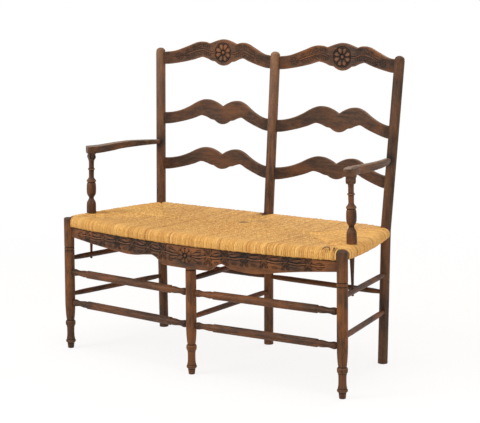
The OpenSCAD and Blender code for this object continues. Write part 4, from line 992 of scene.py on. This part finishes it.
def makeRushMaterial(name, aged=0.0):
    # aged is how brown the rush is all over
    mat, tree, shader = newMaterial(name)
    parts = partsOf(tree, addNode(tree, "ShaderNodeUVMap", uv_map="strand").outputs["UV"])
    number = mathNode(tree, "FLOOR", parts["X"])
    width = mathNode(tree, "FRACT", parts["X"])
    run = parts["Y"]

    def strandNoise(across, stretch, *rest):
        vector = addNode(tree, "ShaderNodeCombineXYZ", {"X": across, "Y": run}).outputs[0]
        return mottle(tree, vector, (*stretch, 1), *rest)

    # every strand shows two stalks, each with its own random number
    stalk = mathNode(tree, "FLOOR", times(tree, parts["X"], 2.0))
    own = addNode(tree, "ShaderNodeTexWhiteNoise", {"W": stalk}, noise_dimensions="1D").outputs["Value"]
    leaning = plus(tree, parts["X"], times(tree, run, 0.045))
    fibre = strandNoise(leaning, (11, 0.34), 3, 0.6, 0.3, 0.7)
    patch = strandNoise(times(tree, number, 5.31), (1, 0.09), 2, 0.5, 0.3, 0.7)
    fleck = strandNoise(times(tree, number, 7.17), (1, 0.42), 2, 0.6, 0.36, 0.66)
    onRoll, groove = attributeOf(tree, "edge"), attributeOf(tree, "cut")
    calm = mathNode(tree, "SUBTRACT", 1.0, times(tree, onRoll, 0.55))
    fleck = plus(tree, 0.5, times(tree, mathNode(tree, "SUBTRACT", fleck, 0.5), calm))
    along = plus(tree, plus(tree, width, times(tree, run, 0.42)), times(tree, own, 3.0))
    twist = mathNode(tree, "SINE", times(tree, along, 6.283))
    where = objectSpace(tree)
    cloud = mottle(tree, where, (9, 9, 9), 3, 0.6, 0.35, 0.68)

    def byStalk(low, high, onTop, onFront):
        return times(tree, remap(tree, own, low, high), remap(tree, onRoll, 0, 1, (onTop, onFront)))

    layers = [
        (byStalk(0.5, 1.0, 0.38, 0.62), (250, 210, 128)), (byStalk(0.4, 0.0, 0.44, 0.55), (172, 116, 48)),
        (byStalk(0.07, 0.03, 0.15, 0.5), (110, 68, 28)), (times(tree, patch, 0.4), (182, 124, 56)),
        (remap(tree, fleck, 0.58, 1.0, (0.0, 0.5)), (252, 212, 136)),
        (remap(tree, fleck, 0.42, 0.0, (0.0, 0.54)), (140, 90, 38)),
        (times(tree, cloud, 0.3), (196, 142, 72)),
    ]
    for place, size, strength in rushSpots:
        rough = plus(tree, distanceFrom(tree, where, place), times(tree, fleck, -0.35 * size))
        layers.append((remap(tree, rough, 0.3 * size, size, (strength, 0.0)), (84, 52, 26)))
    layers.append((times(tree, remap(tree, twist, 0.45, 1.0, (0.0, 0.4)), calm), (132, 84, 36)))
    # stronger painted shade in the grooves round the creases
    for place, size in rushCreases:
        here = remap(tree, distanceFrom(tree, where, place), size, 0.5 * size, (0.0, 0.85))
        layers.append((times(tree, here, remap(tree, groove, 0.0, 0.45)), (112, 66, 26)))
    # painted shade in the grooves between all strands, then the brown of aged rush
    layers += [(remap(tree, groove, 0.1, 0.9, (0.0, 0.7)), (96, 60, 26)), (aged, (52, 30, 14))]
    colour = blendColour(tree, fibre, shade(194, 138, 62), shade(234, 184, 98))
    feed(tree, shader["Base Color"], layered(tree, colour, layers))
    feed(tree, shader["Roughness"], remap(tree, fibre, 0, 1, (0.62, 0.44)))
    shader["Specular IOR Level"].default_value = 0.35
    addBump(tree, shader, plus(tree, fibre, times(tree, twist, 0.3)), 0.5, 0.0005)
    return mat


goldenRush = makeRushMaterial("goldenRush")
agedRush = makeRushMaterial("agedRush", 0.8)


def frontPlan(s):
    reach = seat["bowRadius"] + seat["rushProud"]
    y = seat["bowY"] - np.sqrt(reach ** 2 - s ** 2)
    seam = np.minimum(corner.y + (corner.x - np.abs(s)) * frontMitre, seamY)
    return np.column_stack([s, y]), np.tile((0.0, 1.0), (len(s), 1)), seam - y, np.zeros(len(s))


def backPlan(s):
    y = np.full(len(s), seat["postY"] + rush["backOut"])
    seam = np.maximum(rear.y - (rear.x - np.abs(s)) * backMitre, seamY)
    return np.column_stack([s, y]), np.tile((0.0, -1.0), (len(s), 1)), y - seam, np.zeros(len(s))


def sidePlan(side):
    def plan(s):
        t = s / railLength
        out = rush["sideOut"] + rush["swell"] * (0.12 * t + 0.9 * np.sin(math.pi * t))
        x = corner.x + railAlong.x * s + railOut.x * out
        y = corner.y + railAlong.y * s + railOut.y * out
        inward = np.minimum(s * frontMitre, (railLength - s) * backMitre)
        way = np.tile((-railOut.x * side, -railOut.y), (len(s), 1))
        return np.column_stack([x * side, y]), way, out + inward, rush["sag"] * np.sin(math.pi * t)
    return plan


middlePost = postAt(0, seat["railZ"])


def roundMiddlePost(x, y):
    # strands by the middle post are pressed aside by it
    near = smoothStep(*(middlePost.y - away for away in rush["postNear"]), y)
    off = x - middlePost.x
    return middlePost.x + np.sign(off) * np.sqrt(off ** 2 + ((seat["postR"] + rush["postGap"]) * near) ** 2)


halfFront = corner.x - rush["legClear"]
halfBack = rear.x - rush["postClear"]
weaveField("rush_weave_front", strandEdges(-halfFront, halfFront, 1), frontPlan, 1, tuck=rush["frontTuck"])
weaveField("rush_weave_back", strandEdges(-halfBack, halfBack, 2, middlePost.x), backPlan, 2, roundMiddlePost)
for side, seed in ((-1, 3), (1, 4)):
    edges = strandEdges(rush["legClear"], railLength - rush["postClear"], seed)
    weaveField(sideName("rush_weave", side), edges, sidePlan(side), seed)
print("rush seat woven")


# Torn ends of rush that curl up beside the right front leg
loose = {
    "radius": 0.0021, "around": 8, "wide": 1.3, "high": 0.6,
    "curls": [
        [(0.476, -0.2440, 0.4530), (0.477, -0.2390, 0.4570), (0.483, -0.2300, 0.4595),
         (0.492, -0.2310, 0.4580), (0.499, -0.2400, 0.4520)],
        [(0.501, -0.2220, 0.4540), (0.506, -0.2260, 0.4585), (0.512, -0.2350, 0.4580),
         (0.514, -0.2440, 0.4530)],
    ],
}


def unitRows(rows):
    return rows / np.linalg.norm(rows, axis=1)[:, None]


def makeCurl(number, points):
    line = smoothCurve(points, 6)
    ways = unitRows(np.gradient(line, axis=0))
    across = unitRows(np.cross(ways, (0, 0, 1)))
    over = np.cross(across, ways)
    taper = loose["radius"] * np.sin(np.linspace(0.5, 2.8, len(line)))

    def place(col, row):
        a = 2 * math.pi * row[:, None] / loose["around"]
        flat = across[col] * np.cos(a) * loose["wide"] + over[col] * np.sin(a) * loose["high"]
        marks = {"uv": (np.full(len(col), number + 0.5), col * 0.3), "cut": np.full(len(col), 0.8)}
        return *(line[col] + flat * taper[col, None]).T, marks

    name = "rush_curl_%d" % number
    addPiece(name, wrappedMesh(name, len(line), loose["around"], place), agedRush, ["rush_seat"])


for number, points in enumerate(loose["curls"]):
    makeCurl(number, points)
print("torn rush ends made")


# Arms: a lofted bar with a broad block in front, a moulded slip, and a roll with turned ends
arm = {
    "top": 0.6845, "thick": 0.0245, "swing": 0.013, "tuck": 0.0265, "back": 0.0925,
    "ease": 0.0036, "crown": 0.0012, "wearDepth": 0.0035, "endWear": 0.35,
    "frontTurns": (0, 25, 50, 70, 82, 90), "frontEase": 0.7,
    "turnSteps": (0, 0.2, 0.4, 0.6, 0.8, 1.0), "flatSteps": (0.25, 0.5, 0.75),
    "rollYaw": math.radians(36), "rollR": 0.0120, "rollW": 0.030, "rollSteps": 40, "creaseAngle": 38,
    # the left arm is a little thicker behind its block than the right one
    "leftFuller": 0.0027, "fullerFrom": (0.05, 0.40),
    # where the wear by the post and the painted shade on the tip by the post start and end, and how strong
    # they are
    "rearFrom": (0.87, 0.95), "rearWear": 0.75, "tipFrom": (0.925, 0.955), "tipShade": 0.8,
    # wear by hands is full on the inner side and none on the outer edge, in half widths
    "handSide": (0.7, -0.2),
    # half of the roll's end: radius, distance from its outer end and how much painted shade its hollows get
    "rollEnd": [(0, 0.0010, 0.9), (0.0012, 0.0008, 0.6), (0.0022, 0.0002, 0), (0.0042, 0, 0),
                (0.0056, 0.0004, 0), (0.0066, 0.0022, 0.8), (0.0076, 0.0024, 0.9), (0.0085, 0.0010, 0.4),
                (0.0096, 0.0004, 0), (0.0107, 0.0009, 0), (0.0115, 0.0017, 0), (0.0120, 0.0028, 0)],
    # the two steps between the block and the roll: size, height of the middle, eased edge
    "mouldings": [((0.0335, 0.0225, 0.0034), -0.0012, 0.0010), ((0.0285, 0.0200, 0.0075), -0.0035, 0.0012)],
    # share of the way from the support to the post, swing, width, drop of the top, rise of the inner and the
    # outer lower edge, turn
    "stations": [
        (0.965, -0.68, 0.0170, 0.0104, 0.0070, 0.0052, 20),
        (0.925, -0.26, 0.0215, 0.0092, 0.0058, 0.0036, 19),
        (0.79, 0.47, 0.025, 0.0065, 0.006, 0.002, 17), (0.62, 1.0, 0.025, 0.0035, 0.0065, 0.0005, 11),
        (0.44, 0.96, 0.025, 0.0015, 0.005, 0, 3), (0.29, 0.42, 0.027, 0.001, 0.002, 0, -3),
        (0.15, -0.25, 0.030, 0.0005, 0.0005, 0, 2), (0.085, -0.34, 0.035, 0, 0, 0, 16),
        (0.03, -0.3, 0.039, 0, 0, 0, 32), (-0.05, 0.32, 0.040, 0, 0, 0, 40),
    ],
}
arm["low"] = arm["top"] - arm["thick"]
armFoot = Vector((seat["frontHalf"] - arm["tuck"], seat["legY"] + arm["back"], arm["low"]))


def mirrored(side, place):
    return Vector((side * place.x, place.y, place.z))


def easedSection(halfWidth, inner, outer, top):
    # a closed section with eased corners and a crowned top, from the inner lower corner round
    ease = arm["ease"]
    corners = np.array([(-halfWidth, inner), (halfWidth, outer), (halfWidth, top), (-halfWidth, top)])
    points = []
    for here, last, after in zip(corners, np.roll(corners, 1, axis=0), np.roll(corners, -1, axis=0)):
        onward = (after - here) / np.linalg.norm(after - here) * ease
        a, b = here + (last - here) / np.linalg.norm(last - here) * ease, here + onward
        points += [(1 - t) ** 2 * a + 2 * t * (1 - t) * here + t * t * b for t in arm["turnSteps"]]
        points += [b + (after - onward - b) * t for t in arm["flatSteps"]]
    points = np.array(points)
    raised = np.clip((points[:, 1] - top + 0.0005) / 0.0005, 0, 1)
    points[:, 1] -= raised * arm["crown"] * (points[:, 0] / halfWidth) ** 2
    return points


def armLoft(side):
    # rings of points from the post to the front end, how worn each point is and how much painted shade it
    # gets
    post = postAt(1, arm["low"])
    stations = smoothCurve(arm["stations"], 8)
    sections = [(station, 0.0, 0.0) for station in stations[:-2]]
    reach = arm["ease"] * arm["frontEase"]
    sections += [(stations[-1], reach * (1 - math.sin(a)), reach * (1 - math.cos(a)))
                 for a in np.radians(arm["frontTurns"])]
    rings, worn, dark = [], [], []
    for (share, swing, width, drop, innerRise, outerRise, turn), back, inset in sections:
        out = Vector((math.cos(math.radians(turn)), math.sin(math.radians(turn)), 0))
        forward = Vector((out.y, -out.x, 0))
        centre = armFoot + (post - armFoot) * share
        centre.x += swing * arm["swing"]
        centre = centre - forward * back
        half = width / 2
        fuller = arm["leftFuller"] * smoothStep(*arm["fullerFrom"], share) if side < 0 else 0
        high = arm["top"] - max(drop - fuller, 0) - inset
        low = arm["low"] - fuller + inset
        along, z = easedSection(half - inset, low + innerRise, low + outerRise, high).T
        rings.append(np.column_stack([side * (centre.x + out.x * along), centre.y + out.y * along, z]))
        byHand = np.clip(1 - (high - z) / arm["wearDepth"], 0.05, 1)
        byHand = byHand * smoothStep(*arm["handSide"], along / half)
        rear = arm["rearWear"] * smoothStep(*arm["rearFrom"], share) * (along > 0.2 * half)
        worn.append(np.maximum(byHand, rear))
        # painted shade on the tip, where the arm goes into the post
        dark.append(np.full(len(z), arm["tipShade"] * smoothStep(*arm["tipFrom"], share)))
    rings, worn, dark = np.array(rings), np.array(worn), np.array(dark)
    worn[-2:] *= arm["endWear"]      # the end grain in front

    def place(col, row):
        return *rings[col, row].T, {"edge": worn[col, row], "cut": dark[col, row]}

    return *rings.shape[:2], place


def latheInto(bm, profile, steps, matrix):
    # spins a line of (radius, distance, painted shade) points round the X axis and adds it, placed by matrix
    cut = bm.verts.layers.float["cut"]
    before = set(bm.verts)
    points = [bm.verts.new((along, radius, 0)) for radius, along, dark in profile]
    for v, (radius, along, dark) in zip(points, profile):
        v[cut] = dark
    edges = [bm.edges.new(pair) for pair in zip(points[:-1], points[1:])]
    bmesh.ops.spin(bm, geom=points + edges, cent=(0, 0, 0), axis=(1, 0, 0), angle=2 * math.pi, steps=steps,
                   use_merge=True)
    made = [v for v in bm.verts if v not in before]
    bmesh.ops.remove_doubles(bm, verts=made, dist=0.000005)
    bmesh.ops.transform(bm, matrix=matrix, verts=[v for v in made if v.is_valid])


def makeArm(side):
    name = sideName("arm", side)
    mesh = wrappedMesh(name + "_rest", *armLoft(side))
    bm = bmesh.new()
    bm.from_mesh(mesh)
    frontEnd = Matrix.Translation(mirrored(side, armFoot)) @ Matrix.Rotation(side * arm["rollYaw"], 4, "Z")
    half, r = arm["rollW"] / 2, arm["rollR"]
    profile = [(radius, half - along, dark) for radius, along, dark in arm["rollEnd"]]
    profile += [(r, half * 0.3, 0), (r, -half * 0.3, 0)]
    profile += [(radius, along - half, dark) for radius, along, dark in reversed(arm["rollEnd"])]
    latheInto(bm, profile, arm["rollSteps"], frontEnd @ Matrix.Translation((0, 0, -r)))
    for size, height, ease in arm["mouldings"]:
        spot = frontEnd @ Matrix.Translation((0, 0, height)) @ Matrix.Diagonal((*size, 1))
        made = bmesh.ops.create_cube(bm, size=1, matrix=spot)["verts"]
        edges = [edge for edge in bm.edges if edge.verts[0] in made]
        bmesh.ops.bevel(bm, geom=edges, offset=ease, segments=3, profile=0.5, affect="EDGES", material=-1)
    bmesh.ops.recalc_face_normals(bm, faces=bm.faces)
    bm.to_mesh(mesh)
    bm.free()
    smoothFaces(mesh, arm["creaseAngle"])
    addPiece(name + "_rest", mesh, wood("arm", "y"), [name])


for side in (-1, 1):
    makeArm(side)
print("arms made")


# Turned legs and arm supports, spun from their profiles
turned = {
    "steps": 56, "curve": 4, "creaseAngle": 36, "sample": 0.0004, "radius": 17.0,
    "wearByBend": 0.0045, "shadeByBend": 0.0040, "shadeFrom": 0.15, "scoreDark": 0.9, "scoreNear": 4,
    # runs of height and radius in millimetres, from the floor up; each run is smooth, with a corner after it
    "foot": [
        [(0, 9.3), (0.4, 9.8), (1.2, 10.1), (8, 10.8), (14.4, 11.7)],
        [(14.4, 11.7), (16.6, 11.4), (18.4, 12.4), (20.4, 14.7), (22.6, 16.2), (25, 16.6), (27.6, 16.1),
         (30, 14.9)],
        [(30, 14.9), (31, 13.9), (32.2, 14.1), (34, 14.0), (38, 13.1), (44, 12.5), (58, 12.2), (68, 12.4),
         (74, 13.0), (76.6, 13.6)],
        [(76.6, 13.6), (77.6, 12.9), (78.8, 14.3), (80.4, 15.7), (84, 16.5), (89, 16.7), (93, 16.3),
         (95.4, 15.0)],
        [(95.4, 15.0), (96.6, 13.2), (98.2, 12.9), (101, 13.3), (110, 14.5), (120, 15.4), (130, 16.0),
         (146, 16.7), (164, 17.0), (240, 17.05), (337.4, 17.0)],
    ],
    "scored": {-1: (339, 351), 0: (339, 351), 1: (342.5, 355)}, "scoreHalf": 1.6, "scoreDeep": 1.25,
    "scoreDips": [(-1, 0), (-0.5, 0.7), (0, 1), (0.5, 0.7), (1, 0)],
    "cornerTop": [
        [(400, 17.0), (445.2, 17.0)],
        [(445.2, 17.0), (447.6, 16.75), (448.9, 16.1), (449.6, 15.0), (449.9, 13.4)],
        [(449.9, 13.4), (450.0, 12.0), (450.0, 5.0), (450.0, 0.0)],
    ],
    "middleTop": [[(400, 17.0), (426.9, 17.0)]], "middleAhead": 0.034,
}


def markBends(bm, line, scored):
    # worn where the profile bulges; painted shade in its hollows and along the scored heights
    edge = bm.verts.layers.float.new("edge")
    cut = bm.verts.layers.float.new("cut")
    step = turned["sample"]
    even = np.arange(line[1, 0], line[-2, 0], step)
    radius = np.interp(even, line[1:-1, 0], line[1:-1, 1])
    soft = np.convolve(np.pad(radius, 2, "edge"), np.ones(5) / 5, "valid")
    slope = np.gradient(soft, step)
    bend = np.gradient(slope, step) / (1 + slope ** 2) ** 1.5
    bend = np.convolve(np.pad(bend, 1, "edge"), (0.25, 0.5, 0.25), "valid")
    for v in bm.verts:
        k = float(np.interp(v.co.z, even, bend))
        v[edge] = min(max(-k * turned["wearByBend"], 0), 1)
        v[cut] = min(max(k * turned["shadeByBend"] - turned["shadeFrom"], 0), 1)
        near = min((abs(v.co.z * 1000 - z) for z in scored), default=1000)
        if near < 0.8 * turned["scoreHalf"]:
            v[cut] = turned["scoreDark"]
        elif near < turned["scoreNear"]:
            v[edge] = 0


def spunMesh(name, runs, matrix, scored=()):
    # runs in millimetres of height and radius; closed at both ends
    line = np.vstack([smoothCurve(run, turned["curve"])[(k > 0):] for k, run in enumerate(runs)]) / 1000
    if line[0, 1] > 0:
        line = np.vstack([[line[0, 0], 0], line])
    if line[-1, 1] > 0:
        line = np.vstack([line, [line[-1, 0], 0]])
    bm = bmesh.new()
    points = [bm.verts.new((radius, 0, height)) for height, radius in line]
    edges = [bm.edges.new(pair) for pair in zip(points[:-1], points[1:])]
    bmesh.ops.spin(bm, geom=points + edges, cent=(0, 0, 0), axis=(0, 0, 1), angle=2 * math.pi,
                   steps=turned["steps"], use_merge=True)
    bmesh.ops.remove_doubles(bm, verts=bm.verts, dist=0.000002)
    bmesh.ops.recalc_face_normals(bm, faces=bm.faces)
    markBends(bm, line, scored)
    bmesh.ops.transform(bm, matrix=matrix, verts=bm.verts)
    mesh = meshOf(bm, name)
    smoothFaces(mesh, turned["creaseAngle"])
    for v in mesh.vertices:
        v.co.z = max(v.co.z, 0)
    return mesh


def standing(foot, head):
    # turns the Z axis into the line from foot to head
    return Matrix.Translation(foot) @ (head - foot).to_track_quat("Z", "Y").to_matrix().to_4x4()


def makeLeg(name, side):
    deep, half, full = turned["scoreDeep"], turned["scoreHalf"], turned["radius"]
    scored = turned["scored"][side]
    top = turned["cornerTop"] if side else turned["middleTop"]
    runs = list(turned["foot"])
    runs += [[(z + half * a, full - deep * b) for a, b in turned["scoreDips"]] for z in scored]
    runs += [[(scored[-1] + half, full), *top[0]]] + top[1:]
    foot, head = legAt(side, 0), legAt(side, seat["legTop"])
    if side == 0:
        foot = Vector((0, seat["legY"] - turned["middleAhead"], 0))
        head = foot + Vector((0, 0, 1))
    mesh = spunMesh(name + "_turned", runs, standing(foot, head), scored)
    addPiece(name + "_turned", mesh, wood("leg", "z"), [name])


for name, side in (("front_leg_left", -1), ("front_leg_middle", 0), ("front_leg_right", 1)):
    makeLeg(name, side)


# Arm supports: a peg and a shaft through the seat, and the turned part over it
support = {
    "stretcherZ": 0.311, "rightFall": 0.014, "nub": 0.014, "pegR": 4.0, "shaftR": 7.5, "neck": (455.3, 15.0),
    # height and what it adds to the radius, where the peg widens upwards and where the shaft starts
    "widening": [(311, 0.0), (323, 0.1), (360, 1.2)], "shaftFrom": [(400, -0.5), (411, 0.0)],
    # runs over the seat, in millimetres of height and radius
    "over": [
        [(455.3, 15.0), (456.2, 15.8), (458, 16.0), (474, 15.9), (484, 15.7), (489.6, 15.1)],
        [(489.6, 15.1), (493, 14.2), (497, 12.2), (501, 9.9), (504.4, 8.7)],
        [(504.4, 8.7), (506, 8.2), (508, 8.1), (509.6, 8.6)],
        [(509.6, 8.6), (512, 10.2), (515, 12.2), (519, 14.1), (525, 15.5), (535, 16.0), (546, 15.8),
         (554, 15.2), (558.4, 14.2)],
        [(558.4, 14.2), (559.6, 13.0), (561, 13.1)],
        [(561, 13.1), (561.8, 14.9), (563.6, 15.6), (566, 15.7), (568, 15.1), (569, 13.8)],
        [(569, 13.8), (571, 12.6), (573.4, 10.6), (577, 9.0), (582, 8.6), (592, 8.8), (602, 8.8)],
        [(602, 8.8), (603, 10.4), (604.2, 11.5), (605.5, 11.8), (606.8, 11.5), (608, 10.4), (609, 8.8)],
        [(609, 8.8), (620, 8.7), (630.6, 8.9), (634, 9.4), (637, 10.5), (640, 11.2), (645, 10.6)],
    ],
}


def makeSupport(side):
    name = sideName("arm_support", side)
    fall = support["rightFall"] if side > 0 else 0
    low, high = legAt(side, support["stretcherZ"]), postAt(side, support["stretcherZ"] - fall)
    foot = low + (high - low) * arm["back"] / seat["depth"]
    head = mirrored(side, armFoot)
    pegLow = (foot.z - support["nub"]) * 1000
    peg, shaft = support["pegR"], support["shaftR"]
    plain = [(z, peg + more) for z, more in support["widening"]]
    plain += [(z, shaft + more) for z, more in support["shaftFrom"]]
    seatTop = (support["neck"][0], shaft)
    runs = [[(pegLow, peg - 1.2), (pegLow + 0.6, peg - 0.5), (pegLow + 1.8, peg)],
            [(pegLow + 1.8, peg), *plain, seatTop], [seatTop, support["neck"]]] + support["over"]
    # heights are measured along the support's own line, which leans a little
    axis = (head - foot).normalized()
    start = foot - axis * (foot.z / axis.z)
    mesh = spunMesh(name + "_turned", runs, standing(start, head) @ Matrix.Diagonal((1, 1, 1 / axis.z, 1)))
    addPiece(name + "_turned", mesh, wood("bar", "z"), [name])


for side in (-1, 1):
    makeSupport(side)
print("legs and arm supports turned")
